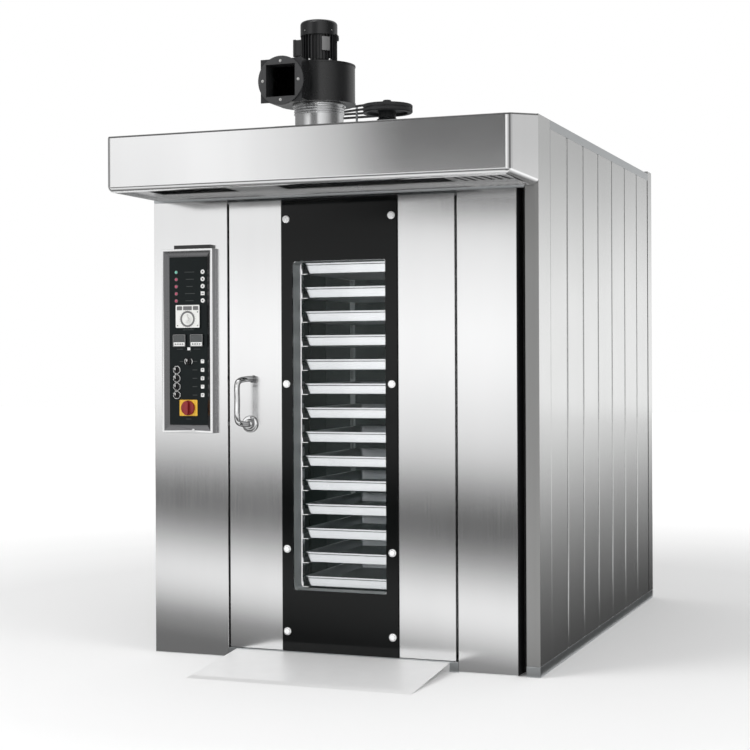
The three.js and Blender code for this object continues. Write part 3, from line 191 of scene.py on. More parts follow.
def addRing(bm, outer, inner, start, end):
    loops = [(outer, start), (outer, end), (inner, end), (inner, start), (outer, start)]
    joinEnds(bm, addLoops(bm, [[lift(u, v, w, "y") for u, v in loop] for loop, w in loops], False, False))


def addPlate(bm, outlines, start, end, across="z"):
    # the first outline filled, with the others as holes
    levels = []
    for w in (start, end):
        rings = [[bm.verts.new(lift(u, v, w, across)) for u, v in outline] for outline in outlines]
        edges = [bm.edges.new((ring[i - 1], ring[i])) for ring in rings for i in range(len(ring))]
        bmesh.ops.triangle_fill(bm, use_beauty=True, use_dissolve=False, edges=edges)
        levels.append(rings)
    for first, last in zip(*levels):
        for i in range(len(first)):
            bm.faces.new((first[i - 1], first[i], last[i], last[i - 1]))


def circle(radius, centre=(0, 0), sides=48, start=0.0):
    return [polar(centre, radius, angle) for angle in evenAngles(sides, start)]


def rectangle(width, height, centre=(0, 0)):
    x, y = centre
    return [(x + sx * width / 2, y + sy * height / 2) for sx, sy in ((-1, -1), (1, -1), (1, 1), (-1, 1))]


def roundedRect(width, height, radius, steps=6, centre=(0, 0)):
    points = []
    for sx, sy, startAngle in ((1, -1, -90), (1, 1, 0), (-1, 1, 90), (-1, -1, 180)):
        corner = (centre[0] + sx * (width / 2 - radius), centre[1] + sy * (height / 2 - radius))
        points += [polar(corner, radius, math.radians(startAngle + 90 * i / steps)) for i in range(steps + 1)]
    return points


def addBolt(bm, at, direction, across, height, washer=0.0):
    if washer:
        addTurned(bm, [(0.0005, 0), (washer, 0), (washer * 0.97, 0.0012), (0.0005, 0.0012)], at, direction, 24)
    head = [(0.0005, 0), (across / 2, 0), (across / 2, height * 0.8), (across * 0.43, height), (0.0005, height)]
    addTurned(bm, head, at, direction, 6)


def addBoltCircle(bm, centre, radius, degrees, direction, across, height, washer=0.0):
    # bolts round a centre, in the plane across their direction
    for angle in (math.radians(degree) for degree in degrees):
        if direction[1]:
            x, z = polar((centre[0], centre[2]), radius, angle)
            at = (x, centre[1], z)
        else:
            at = (*polar(centre, radius, angle), centre[2])
        addBolt(bm, at, direction, across, height, washer)


def addHead(bm, at, direction, radius, rise):
    # low domed screw head
    profile = [(0.0004, 0), (radius, 0), (radius * 0.94, rise * 0.5), (radius * 0.7, rise * 0.9),
               (0.0004, rise)]
    addTurned(bm, profile, at, direction, 16)


def addFins(bm, centre, count, outline, start, end, across="z", gap=0.0):
    # outline of one fin as (distance from the centre, sideways) pairs; gap in degrees round -X stays free
    for angle in evenAngles(count, math.pi / count):
        if abs(math.degrees(angle) - 180) < gap:
            continue
        along, aside = Vector((math.cos(angle), math.sin(angle))), Vector((-math.sin(angle), math.cos(angle)))
        points = [Vector(centre) + along * far + aside * off for far, off in outline]
        addPrism(bm, [tuple(point) for point in points], start, end, across)


def smoothPath(points, steps):
    curve = []
    count = len(points)
    for i in range(count - 1):
        p0, p1, p2, p3 = (Vector(points[max(0, min(count - 1, i + k))]) for k in (-1, 0, 1, 2))
        for step in range(steps):
            t = step / steps
            curve.append(0.5 * (2 * p1 + (p2 - p0) * t + (2 * p0 - 5 * p1 + 4 * p2 - p3) * t * t
                                + (3 * p1 - p0 - 3 * p2 + p3) * t ** 3))
    curve.append(Vector(points[-1]))
    return curve


def addTube(bm, path, radius, sides=20):
    loops = []
    side = (path[1] - path[0]).normalized().orthogonal()
    for i, point in enumerate(path):
        along = (path[min(i + 1, len(path) - 1)] - path[max(i - 1, 0)]).normalized()
        side = (side - along * side.dot(along)).normalized()
        other = along.cross(side)
        loops.append([point + radius * (math.cos(a) * side + math.sin(a) * other) for a in evenAngles(sides)])
    addLoops(bm, loops)


def roundedNode(name, node, finish, width=0.002, longerThan=0.02, body="cabinet"):
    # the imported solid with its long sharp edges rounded
    bm = bmesh.new()
    bm.from_mesh(nodes[node].data)
    bmesh.ops.remove_doubles(bm, verts=bm.verts, dist=0.00005)
    bmesh.ops.dissolve_limit(bm, angle_limit=math.radians(0.6), verts=bm.verts, edges=bm.edges)
    bevelEdges(bm, width, math.radians(35), longerThan, 3)
    return addPiece(bm, name, finish, [node], body)


# ---- shader groups

def newGroup(name, inputs, outputs):
    group = bpy.data.node_groups.new(name, "ShaderNodeTree")
    for label, kind, value in inputs:
        socket = group.interface.new_socket(name=label, in_out="INPUT", socket_type=kind)
        socket.default_value = value
    for label, kind in outputs:
        group.interface.new_socket(name=label, in_out="OUTPUT", socket_type=kind)
    return group, group.nodes.new("NodeGroupInput"), group.nodes.new("NodeGroupOutput")


def mathNode(tree, operation, first, second=None, third=None, clamp=False):
    node = tree.nodes.new("ShaderNodeMath")
    node.operation = operation
    node.use_clamp = clamp
    for index, value in enumerate((first, second, third)):
        if value is None:
            continue
        if isinstance(value, (int, float)):
            node.inputs[index].default_value = value
        else:
            tree.links.new(value, node.inputs[index])
    return node.outputs[0]


def mixColour(tree, factor, first, second, blend="MIX"):
    node = tree.nodes.new("ShaderNodeMix")
    node.data_type = "RGBA"
    node.blend_type = blend
    for socket, value in ((node.inputs[0], factor), (node.inputs[6], first), (node.inputs[7], second)):
        if hasattr(value, "links"):
            tree.links.new(value, socket)
        elif isinstance(value, (int, float)):
            socket.default_value = value
        else:
            socket.default_value = (*value, 1)
    return node.outputs[2]


def noiseNode(tree, vector, scale, detail=3.0, roughness=0.55):
    node = tree.nodes.new("ShaderNodeTexNoise")
    node.inputs["Detail"].default_value = detail
    node.inputs["Roughness"].default_value = roughness
    if hasattr(scale, "links"):
        tree.links.new(scale, node.inputs["Scale"])
    else:
        node.inputs["Scale"].default_value = scale
    tree.links.new(vector, node.inputs["Vector"])
    return node.outputs["Fac"]


def stretched(tree, vector, scale):
    node = tree.nodes.new("ShaderNodeMapping")
    tree.links.new(vector, node.inputs["Vector"])
    if hasattr(scale, "links"):
        tree.links.new(scale, node.inputs["Scale"])
    else:
        node.inputs["Scale"].default_value = scale
    return node.outputs[0]


def makeBrushing():
    group, given, out = newGroup("brushing", [
        ("Stretch", "NodeSocketVector", (400, 400, 3)),
        ("Depth", "NodeSocketFloat", 0.25),
        ("Shade", "NodeSocketFloat", 0.06),
    ], [("Height", "NodeSocketFloat"), ("Tone", "NodeSocketFloat"), ("Rough", "NodeSocketFloat")])
    place3d = group.nodes.new("ShaderNodeTexCoord").outputs["Object"]
    fine = noiseNode(group, stretched(group, place3d, given.outputs["Stretch"]), 1.0, 2.0)
    broad = noiseNode(group, stretched(group, place3d, (9, 9, 0.6)), 1.0, 2.0)
    centred = mathNode(group, "SUBTRACT", fine, 0.5)
    toneFine = mathNode(group, "MULTIPLY", centred, given.outputs["Shade"])
    toneBroad = mathNode(group, "MULTIPLY", mathNode(group, "SUBTRACT", broad, 0.5), given.outputs["Shade"])
    tone = mathNode(group, "ADD", mathNode(group, "ADD", toneFine, toneBroad), 1.0)
    group.links.new(mathNode(group, "MULTIPLY", fine, given.outputs["Depth"]), out.inputs["Height"])
    group.links.new(tone, out.inputs["Tone"])
    group.links.new(mathNode(group, "MULTIPLY", centred, 0.06), out.inputs["Rough"])
    return group


def makeSmudges():
    group, given, out = newGroup("handling", [
        ("Scale", "NodeSocketFloat", 3.0),
        ("Amount", "NodeSocketFloat", 0.08),
    ], [("Rough", "NodeSocketFloat"), ("Mask", "NodeSocketFloat")])
    place3d = group.nodes.new("ShaderNodeTexCoord").outputs["Object"]
    clouds = noiseNode(group, place3d, given.outputs["Scale"], 5.0, 0.6)
    soft = mathNode(group, "MULTIPLY_ADD", clouds, 2.4, -0.9, clamp=True)
    group.links.new(mathNode(group, "MULTIPLY", soft, given.outputs["Amount"]), out.inputs["Rough"])
    group.links.new(soft, out.inputs["Mask"])
    return group


def makeSpeckle():
    group, given, out = newGroup("speckle", [
        ("Scale", "NodeSocketFloat", 900.0),
        ("Depth", "NodeSocketFloat", 0.3),
        ("Shade", "NodeSocketFloat", 0.12),
    ], [("Height", "NodeSocketFloat"), ("Tone", "NodeSocketFloat")])
    place3d = group.nodes.new("ShaderNodeTexCoord").outputs["Object"]
    grain = noiseNode(group, place3d, given.outputs["Scale"], 2.0, 0.5)
    broad = noiseNode(group, place3d, 14.0, 4.0, 0.6)
    centred = mathNode(group, "SUBTRACT", broad, 0.5)
    tone = mathNode(group, "MULTIPLY_ADD", centred, given.outputs["Shade"], 1.0)
    group.links.new(mathNode(group, "MULTIPLY", grain, given.outputs["Depth"]), out.inputs["Height"])
    group.links.new(tone, out.inputs["Tone"])
    return group


brushing = makeBrushing()
handling = makeSmudges()
speckle = makeSpeckle()


# ---- materials

def startMaterial(name, values):
    material = bpy.data.materials.new(name)
    material.use_nodes = True
    shader = material.node_tree.nodes["Principled BSDF"]
    for label, value in values.items():
        shader.inputs[label].default_value = value
    return material, material.node_tree, shader


def placeGroup(tree, group, **values):
    node = tree.nodes.new("ShaderNodeGroup")
    node.node_tree = group
    for label, value in values.items():
        node.inputs[label].default_value = value
    return node


def addBump(tree, shader, height, strength, distance):
    bump = tree.nodes.new("ShaderNodeBump")
    bump.inputs["Strength"].default_value = strength
    bump.inputs["Distance"].default_value = distance
    tree.links.new(height, bump.inputs["Height"])
    tree.links.new(bump.outputs["Normal"], shader.inputs["Normal"])


def brushedMetal(name, colour, rough, stretch=(500, 500, 5), anisotropic=0.3, shade=0.07, smudge=0.07,
                 turn=0.0, rim=0.0):
    material, tree, shader = startMaterial(name, {"Metallic": 1.0, "Anisotropic": anisotropic,
                                                  "Anisotropic Rotation": turn})
    grain = placeGroup(tree, brushing, Stretch=stretch, Shade=shade)
    touch = placeGroup(tree, handling, Scale=2.6, Amount=smudge)
    tone = mixColour(tree, 1.0, colour, grain.outputs["Tone"], "MULTIPLY")
    # painted shade: with rim set, the colour darkens toward the outline, where the surface turns away from the
    # camera
    if rim:
        facing = tree.nodes.new("ShaderNodeLayerWeight")
        facing.inputs["Blend"].default_value = 0.5
        edge = mathNode(tree, "MULTIPLY", mathNode(tree, "POWER", facing.outputs["Facing"], 1.5), rim)
        tone = mixColour(tree, edge, tone, (0.03, 0.03, 0.032))
    tree.links.new(tone, shader.inputs["Base Color"])
    roughness = mathNode(tree, "ADD", grain.outputs["Rough"], rough)
    tree.links.new(mathNode(tree, "ADD", roughness, touch.outputs["Rough"]), shader.inputs["Roughness"])
    addBump(tree, shader, grain.outputs["Height"], 0.12, 0.0002)
    return material


def plainSurface(name, colour, rough, metallic=0.0, grain=900.0, depth=0.25, shade=0.12, coat=0.0,
                 smudge=0.06, specular=0.5):
    material, tree, shader = startMaterial(name, {"Metallic": metallic, "Coat Weight": coat,
                                                  "Specular IOR Level": specular})
    spots = placeGroup(tree, speckle, Scale=grain, Depth=depth, Shade=shade)
    touch = placeGroup(tree, handling, Scale=9.0, Amount=smudge)
    tone = mixColour(tree, 1.0, colour, spots.outputs["Tone"], "MULTIPLY")
    tree.links.new(tone, shader.inputs["Base Color"])
    tree.links.new(mathNode(tree, "ADD", touch.outputs["Rough"], rough), shader.inputs["Roughness"])
    addBump(tree, shader, spots.outputs["Height"], 0.2, 0.0002)
    return material


def clearGlass(name, colour, alpha, rough=0.02):
    material, tree, shader = startMaterial(name, {"Metallic": 0.0, "Alpha": alpha, "IOR": 1.5})
    touch = placeGroup(tree, handling, Scale=6.0, Amount=0.05)
    tree.links.new(mathNode(tree, "ADD", touch.outputs["Rough"], rough), shader.inputs["Roughness"])
    film = mixColour(tree, touch.outputs["Mask"], colour, tuple(c * 1.3 for c in colour))
    tree.links.new(film, shader.inputs["Base Color"])
    return material


metals = {
    "frontSteel": dict(colour=(0.86, 0.862, 0.865), rough=0.15, stretch=(700, 700, 5), anisotropic=0.75,
                       shade=0.05, smudge=0.02),
    "panelSteel": dict(colour=(0.70, 0.705, 0.70), rough=0.19, anisotropic=0.80, shade=0.05, smudge=0.03),
    "hoodSteel": dict(colour=(0.86, 0.862, 0.865), rough=0.14, stretch=(4, 600, 600), anisotropic=0.4,
                      shade=0.05, smudge=0.02, turn=0.25),
    "frameSteel": dict(colour=(0.42, 0.42, 0.415), rough=0.50, anisotropic=0.2, shade=0.06, smudge=0.03),
    "trimSteel": dict(colour=(0.50, 0.52, 0.53), rough=0.30),
    "polishedSteel": dict(colour=(0.90, 0.905, 0.91), rough=0.06, stretch=(300, 300, 300), anisotropic=0.0,
                          shade=0.02, smudge=0.04),
    # the rim value paints a dark edge of shade along the handle's outline
    "handleSteel": dict(colour=(0.88, 0.885, 0.89), rough=0.05, stretch=(300, 300, 300), anisotropic=0.0,
                        shade=0.02, smudge=0.03, rim=1.9),
    "traySteel": dict(colour=(0.90, 0.92, 0.94), rough=0.34, stretch=(6, 400, 400), anisotropic=0.2,
                      shade=0.08, smudge=0.10),
    "chamberSteel": dict(colour=(0.10, 0.115, 0.115), rough=0.38, stretch=(300, 300, 5), anisotropic=0.2,
                         shade=0.15),
    "bevelSteel": dict(colour=(0.46, 0.46, 0.46), rough=0.26),
    # dark box steel: the bevel round the fascia, and painted shade on the box's right side face
    "boxSteelAndSideShade": dict(colour=(0.20, 0.20, 0.205), rough=0.24),
    "spigotSteel": dict(colour=(0.72, 0.725, 0.73), rough=0.20, stretch=(60, 60, 300), anisotropic=0.0,
                        shade=0.06),
    "screwSteel": dict(colour=(0.70, 0.70, 0.69), rough=0.25, stretch=(300, 300, 300), anisotropic=0.0,
                       shade=0.02),
}
surfaces = {
    "capSteel": dict(colour=(0.97, 0.97, 0.97), rough=0.30, grain=600, depth=0.05, shade=0.04),
    "jambSteel": dict(colour=(0.40, 0.42, 0.42), rough=0.48, metallic=0.8, grain=300, depth=0.1, shade=0.2),
    "galvanised": dict(colour=(0.62, 0.64, 0.65), rough=0.38, metallic=1.0, grain=60, depth=0.1, shade=0.25),
    "rampSteel": dict(colour=(0.88, 0.88, 0.88), rough=0.40, metallic=0.22, grain=500, depth=0.1, shade=0.08),
    "heaterSteel": dict(colour=(0.30, 0.27, 0.24), rough=0.5, metallic=1.0, grain=120, depth=0.2, shade=0.4),
    "barePlate": dict(colour=(0.24, 0.24, 0.24), rough=0.40, metallic=0.6, grain=500, depth=0.1, shade=0.2),
    "blackPaint": dict(colour=(0.006, 0.0063, 0.007), rough=0.26, grain=1400, depth=0.2, shade=0.3,
                       specular=0.62),
    "motorBlack": dict(colour=(0.006, 0.0063, 0.007), rough=0.30, grain=700, depth=0.35, shade=0.3,
                       specular=0.62),
    "castBlack": dict(colour=(0.020, 0.0205, 0.022), rough=0.42, grain=380, depth=0.5, shade=0.3,
                      specular=0.32),
    "ringBlack": dict(colour=(0.022, 0.0225, 0.024), rough=0.32, grain=500, depth=0.3, shade=0.5, smudge=0.1,
                      specular=0.75),
    "blackPlastic": dict(colour=(0.018, 0.018, 0.019), rough=0.38, grain=1800, depth=0.3, shade=0.2,
                         specular=0.35),
    "fasciaBlack": dict(colour=(0.008, 0.0115, 0.012), rough=0.34, grain=500, depth=0.03, shade=0.2,
                        specular=0.16),
    "whitePlastic": dict(colour=(0.82, 0.82, 0.80), rough=0.35, grain=1500, depth=0.1, shade=0.05),
    "redPlastic": dict(colour=(0.24, 0.010, 0.014), rough=0.32, grain=1500, depth=0.15, shade=0.1, coat=0.2),
    "yellowPlate": dict(colour=(0.80, 0.47, 0.04), rough=0.38, depth=0.1, shade=0.06),
    "sealRubber": dict(colour=(0.03, 0.03, 0.03), rough=0.75, grain=700, depth=0.4, shade=0.2),
    "beltRubber": dict(colour=(0.018, 0.018, 0.019), rough=0.62, grain=500, depth=0.4, shade=0.25),
    "glassBlack": dict(colour=(0.004, 0.0045, 0.0045), rough=0.05, grain=40, depth=0.0, shade=0.1,
                       smudge=0.03, specular=0.22),
    "seamShadow": dict(colour=(0.02, 0.02, 0.021), rough=0.6, depth=0.1, shade=0.2),
    # dark grey painted as shade: the strip under the hood's top edge and the band under each tray's rim
    "shadeLineGrey": dict(colour=(0.07, 0.07, 0.07), rough=0.5, grain=500, depth=0.1, shade=0.2),
    "lampGreen": dict(colour=(0.18, 0.55, 0.42), rough=0.18, depth=0.05, shade=0.1, coat=0.6),
    "lampRed": dict(colour=(0.52, 0.09, 0.16), rough=0.18, depth=0.05, shade=0.1, coat=0.6),
    "displayDark": dict(colour=(0.045, 0.05, 0.05), rough=0.12, grain=300, depth=0.02, shade=0.1, coat=0.5),
    "iconWhite": dict(colour=(0.80, 0.80, 0.79), rough=0.45, depth=0.05, shade=0.05),
    "timerGrey": dict(colour=(0.17, 0.17, 0.17), rough=0.42, depth=0.1, shade=0.1, specular=0.3),
    "captionGrey": dict(colour=(0.065, 0.07, 0.07), rough=0.5, depth=0.1, shade=0.1, specular=0.2),
}
glasses = {
    "windowGlass": dict(colour=(0.01, 0.016, 0.014), alpha=0.14),
    "innerGlass": dict(colour=(0.012, 0.022, 0.019), alpha=0.10),
}
finishes = {}
for make, looks in ((brushedMetal, metals), (plainSurface, surfaces), (clearGlass, glasses)):
    finishes.update({name: make(name, **look) for name, look in looks.items()})
print("materials:", len(finishes))


plainNodes = {
    "hood_grille": "bevelSteel", "control_fascia": "fasciaBlack", "door_gasket": "sealRubber",
    "door_inner_glass": "innerGlass", "exhaust_impeller": "galvanised", "circulation_impeller": "galvanised",
    "circulation_motor": "castBlack", "heater_bank": "heaterSteel", "bulkhead": "chamberSteel",
    "left_air_baffle": "chamberSteel", "right_air_baffle": "chamberSteel",
}
for nodeName, finishName in plainNodes.items():
    nodes[nodeName].data.materials.clear()
    nodes[nodeName].data.materials.append(finishes[finishName])
print("nodes shown as packed:", len(plainNodes), "of", len(nodes))


# ---- cabinet

cabinetLooks = {
    "edge": 0.0025,
    "sheets": 7,
    "seamWidth": 0.020,
    "seamDepth": 0.005,
    "seamFold": 0.002,
    "lap": 0.006,  # rounded front edge of each side sheet
    "trimDepth": 0.180,
    "postDepth": 0.095,
    "sheetTop": 2.1637,
    "trimTop": 2.2,
    "stepWidth": 0.019,  # outer part of the right wall's front edge
    "stepDepth": 0.006,
    "clearance": 0.001,
    "frontBand": 0.012,  # faces this close to the front take the darker frame steel
}


def makeFrontFrame():
    for node in ("left_front_column", "right_front_column"):
        roundedNode(f"{node}_sheet", node, "frontSteel", cabinetLooks["edge"])
    roundedNode("roof_sheet", "roof", "trimSteel", 0.003, 0.3)
    print("front frame and roof")


def sheetOutline(outer, inner, start, end):
    # plan of one side sheet and of the groove behind it
    look = cabinetLooks
    depth, lap, fold = look["seamDepth"], look["lap"], look["seamFold"]
    seam = end - look["seamWidth"]
    arc = [math.radians(90 * step / 4) for step in range(5)]
    return ([(inner, start), (outer - depth, start)]
            + [(outer - depth + depth * math.sin(a), start + lap * (1 - math.cos(a))) for a in arc]
            + [(outer, seam - fold), (outer - fold, seam), (outer - depth, seam), (outer - depth, end),
               (inner, end)])


def makeSideWalls():
    look = cabinetLooks
    for node, outward in (("right_side_wall", 1), ("left_side_wall", -1)):
        low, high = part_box(node)
        outer, inner = (high.x, low.x) if outward > 0 else (-low.x, -high.x)
        sheetsFrom, sheetsTo = frontY + look["trimDepth"], high.y - look["postDepth"]
        pitch = (sheetsTo - sheetsFrom) / look["sheets"]
        bm = bmesh.new()

        def addPart(outline, top, bevel=0.0):
            addPrism(bm, [(outward * x, y) for x, y in outline], low.z, top, bevel=bevel)

        for number in range(look["sheets"]):
            start = sheetsFrom + number * pitch
            addPart(sheetOutline(outer, inner, start, start + pitch), look["sheetTop"])
        for face in bm.faces:
            if abs(abs(face.calc_center_median().x) - (outer - look["seamDepth"])) < 0.0008:
                face.material_index = 1
        sheetFaces = set(bm.faces)
        trimEnd, postStart = sheetsFrom - look["clearance"], sheetsTo + look["clearance"]
        if outward > 0:
            stepX, stepY = outer - look["stepWidth"], low.y + look["stepDepth"]
            trim, trimTop = [(inner, stepY), (stepX, stepY), (stepX, low.y), (outer, low.y)], look["trimTop"]
        else:
            trim, trimTop = [(inner, low.y), (outer, low.y)], look["sheetTop"]
        addPart(trim + [(outer, trimEnd), (inner, trimEnd)], trimTop, look["edge"])
        post = [(inner, postStart), (outer, postStart), (outer, high.y), (inner, high.y)]
        addPart(post, high.z, look["edge"])
        for face in set(bm.faces) - sheetFaces:
            middleOf = face.calc_center_median()
            if middleOf.y < low.y + look["frontBand"] and abs(middleOf.x) < outer - 0.003:
                face.material_index = 2
        mesh = finishMesh(bm, f"{node}_sheets", 25)
        for finish in ("panelSteel", "seamShadow", "frameSteel"):
            mesh.materials.append(finishes[finish])
        place(f"{node}_sheets", mesh, None, "cabinet", [node])
    print("side walls")


recessLooks = {"sheet": 0.0004, "gap": 0.0004, "columnFold": 0.0327, "frameDepth": 0.04}


def makeRecessShade():
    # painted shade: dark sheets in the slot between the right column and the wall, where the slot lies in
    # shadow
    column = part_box("right_front_column")[1]
    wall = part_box("right_side_wall")[0]
    look = recessLooks
    thick, gap = look["sheet"], look["gap"]
    backY = column.y - look["frameDepth"] - gap
    leftX, rightX = column.x - look["columnFold"] + gap, wall.x - gap
    bm = bmesh.new()
    outline = [(leftX, frontY + 0.004), (leftX + thick, frontY + 0.004), (leftX + thick, backY - thick),
               (rightX - thick, backY - thick), (rightX - thick, frontY + 0.012), (rightX, frontY + 0.012),
               (rightX, backY), (leftX, backY)]
    addPrism(bm, outline, 0.002, column.z - 0.001)
    addPiece(bm, "recess_painted_shade", "seamShadow")


backLooks = {"sheets": 3, "groove": 0.008, "sheetDepth": 0.0025, "headRise": 0.0018, "headRadius": 0.006,
             "inset": 0.022, "rows": 9, "endRow": 0.06}


def makeBackWall():
    look = backLooks
    low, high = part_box("back_wall")
    face = high.y - look["headRise"] - 0.0001
    base = face - look["sheetDepth"]
    width = (high.x - low.x) / look["sheets"]
    rowPitch = (high.z - low.z - 2 * look["endRow"]) / (look["rows"] - 1)
    bm, groove, heads = bmesh.new(), bmesh.new(), bmesh.new()
    addBox(bm, low, (high.x, base - 0.0002, high.z), 0.002)
    addBox(groove, (low.x + 0.004, base - 0.0002, low.z + 0.004), (high.x - 0.004, base, high.z - 0.004))
    for number in range(look["sheets"]):
        x0 = low.x + number * width + look["groove"] / 2
        x1 = x0 + width - look["groove"]
        addBox(bm, (x0, base, low.z + 0.003), (x1, face, high.z - 0.003), 0.0009)
        for row in range(look["rows"]):
            for x in (x0 + look["inset"], x1 - look["inset"]):
                addHead(heads, (x, face, low.z + look["endRow"] + row * rowPitch), (0, 1, 0),
                        look["headRadius"], look["headRise"])
    addPiece(bm, "back_sheets", "panelSteel", ["back_wall"])
    addPiece(groove, "back_grooves", "seamShadow")
    addPiece(heads, "back_screws", "screwSteel", sharpAngle=50)
    print("back wall")


roofLooks = {"seams": (0.46, 0.76), "seamEnd": 0.05, "lap": 0.036, "lapRise": 0.0016, "headRadius": 0.0065,
             "headRise": 0.0026, "headEnd": 0.09, "columns": 6}


def makeRoofFittings():
    # lap joints across the roof, and its screws
    look = roofLooks
    low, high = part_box("roof")
    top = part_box("spindle_bearing")[0].z
    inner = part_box("back_wall")[0].y
    columnPitch = (high.x - low.x - 2 * look["headEnd"]) / (look["columns"] - 1)
    laps, heads = bmesh.new(), bmesh.new()
    lines = [(frontY + 0.05, top)]
    for share in look["seams"]:
        y = frontY + share * (inner - frontY)
        lapTop = top + look["lapRise"]
        addBox(laps, (low.x + look["seamEnd"], y, top),
               (high.x - look["seamEnd"], y + look["lap"], lapTop), 0.0006)
        lines.append((y + look["lap"] / 2, lapTop))
    lines.append((inner - 0.03, top))
    for y, z in lines:
        for column in range(look["columns"]):
            addHead(heads, (low.x + look["headEnd"] + column * columnPitch, y, z), upward,
                    look["headRadius"], look["headRise"])
    addPiece(laps, "roof_laps", "trimSteel")
    addPiece(heads, "roof_screws", "screwSteel", sharpAngle=50)
    print("roof fittings")


makeFrontFrame()
makeSideWalls()
makeRecessShade()
makeBackWall()
makeRoofFittings()
roundedNode("base_sheet", "base_floor", "trimSteel", 0.002)
roundedNode("ramp_plate", "ramp", "rampSteel", 0.0012, 0.01)


# ---- door

doorLooks = {
    "edge": 0.003,
    "capRadius": 0.0155,
    "capHeight": 0.0075,
    "capInset": 0.023,
    "capEnd": 0.08,
    "capShares": (0, 0.2, 0.6, 1),  # of the way from the lowest cap to the highest
    "paneRadius": 0.005,
    "paneMargin": 0.0217,
    "shadowGap": 0.003,
    "jamb": 0.03,  # dull reveal round the window
}


def makeDoor():
    look = doorLooks
    leaf = roundedNode("door_leaf_sheet", "door_leaf", "frontSteel", look["edge"], 0.5, "door")
    low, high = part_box("door_glass")
    size, strip = high - low, (low + high) / 2
    pane = middle("door_inner_glass")
    innerLow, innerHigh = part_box("door_inner_glass")
    paneWidth = innerHigh.x - innerLow.x - 2 * look["paneMargin"]
    paneHeight = innerHigh.z - innerLow.z - 2 * look["paneMargin"]
    outer = roundedRect(size.x, size.z, 0.002, 8, (strip.x, strip.z))
    hole = roundedRect(paneWidth, paneHeight, look["paneRadius"], 8, (strip.x, pane.z))
    bm = bmesh.new()
    addRing(bm, outer, hole, low.y, high.y)
    addPiece(bm, "door_glass_border", "glassBlack", ["door_glass"], "door")
    bm = bmesh.new()
    addPrism(bm, hole, low.y + 0.0002, high.y - 0.0002, "y")
    addPiece(bm, "door_glass_pane", "windowGlass", body="door")
    gap = look["shadowGap"]
    wide = roundedRect(size.x + 2 * gap, size.z + 2 * gap, 0.004, 8, (strip.x, strip.z))
    bm = bmesh.new()
    addRing(bm, wide, outer, high.y - 0.0006, high.y - 0.0001)
    addPiece(bm, "glass_shadow_gap", "seamShadow", body="door")
    leaf.data.materials.append(finishes["jambSteel"])
    for polygon in leaf.data.polygons:
        centre = polygon.center
        if (abs(polygon.normal.y) < 0.6 and abs(centre.x - strip.x) < paneWidth / 2 + look["jamb"]
                and abs(centre.z - pane.z) < paneHeight / 2 + look["jamb"]):
            polygon.material_index = 1


def makeGlassCaps():
    look = doorLooks
    bm = bmesh.new()
    low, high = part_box("door_glass")
    radius, rise = look["capRadius"], look["capHeight"]
    profile = [(0.001, 0), (radius, 0), (radius, rise * 0.45), (radius * 0.86, rise * 0.85),
               (radius * 0.55, rise), (0.001, rise)]
    for x in (low.x + look["capInset"], high.x - look["capInset"]):
        for share in look["capShares"]:
            z = low.z + look["capEnd"] + share * (high.z - low.z - 2 * look["capEnd"])
            addTurned(bm, profile, (x, low.y, z), toFront, 40)
    addPiece(bm, "glass_caps", "capSteel", body="door", sharpAngle=50)
    print("door, glass and caps")


makeDoor()
makeGlassCaps()


# ---- door handle

handleLooks = {
    "gripRadius": 0.012,
    "rise": 0.188,  # top arm above the spindle
    "proud": 0.088,
    "offset": 0.018,  # grip to the left of the spindle
    "topFoot": 0.010,  # top arm's foot to the right of it
    "rosetteRadius": 0.035,
    "rosetteThickness": 0.010,
    "spindleRadius": 0.009,
    "spindleStart": 0.041,
    "spindleLength": 0.048,
    "camDepth": 0.034,
    "camReach": 0.097,
    "camHalf": 0.015,
    "camThickness": 0.014,
}


def makeHandle():
    look = handleLooks
    low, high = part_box("door_handle")
    spindleX, spindleZ = high.x - look["rosetteRadius"], low.z + look["rosetteRadius"]
    at = (spindleX, frontY, spindleZ)
    proud, rise, offset = look["proud"], look["rise"], look["offset"]
    bend = look["gripRadius"] * 2.2
    path = [(0, 0, look["rosetteThickness"]), (-0.002, 0, proud * 0.45),
            (-offset * 0.7, bend * 0.25, proud - bend * 0.4), (-offset, bend, proud),
            (-offset, rise / 2, proud), (-offset, rise - bend, proud),
            (-offset * 0.6, rise - bend * 0.25, proud - bend * 0.4), (0.004, rise, proud * 0.5),
            (look["topFoot"], rise, 0.002)]
    bm = bmesh.new()
    grip = [Vector((x, -out, z)) + Vector(at) for x, z, out in smoothPath(path, 8)]
    addTube(bm, grip, look["gripRadius"], 28)
    r, t = look["rosetteRadius"], look["rosetteThickness"]
    rosette = [(0.001, 0.0004), (r, 0.0004), (r, t * 0.55), (r * 0.985, t * 0.75), (r * 0.94, t * 0.92),
               (r * 0.88, t), (r * 0.62, t), (r * 0.58, t + 0.002), (r * 0.55, t + 0.012),
               (r * 0.50, t + 0.015), (r * 0.42, t + 0.016), (0.001, t + 0.016)]
    addTurned(bm, rosette, at, toFront, 64)
    collar = [(0.001, 0.0006), (0.0152, 0.0006), (0.0156, 0.0015), (0.0156, 0.0095), (0.0150, 0.011),
              (0.001, 0.011)]
    addTurned(bm, collar, (spindleX + look["topFoot"], frontY, spindleZ + rise), toFront, 48)
    length, thin = look["spindleLength"], look["spindleRadius"]
    addTurned(bm, [(0.0005, 0), (thin, 0), (thin, length), (0.0005, length)],
              (spindleX, frontY + look["spindleStart"], spindleZ), toFront, 24)
    reach, half, camY = look["camReach"], look["camHalf"], frontY + look["camDepth"]
    cam = [(0.018, -half), (0.018, half), (-reach * 0.6, half), (-reach, half / 2), (-reach, -half / 2),
           (-reach * 0.6, -half)]
    addPrism(bm, [(spindleX + x, spindleZ + z) for x, z in cam], camY - look["camThickness"] / 2,
             camY + look["camThickness"] / 2, "y", 0.001)
    addPiece(bm, "handle_grip", "handleSteel", ["door_handle"], "handle", 40)
    print("handle")


makeHandle()


# ---- control box

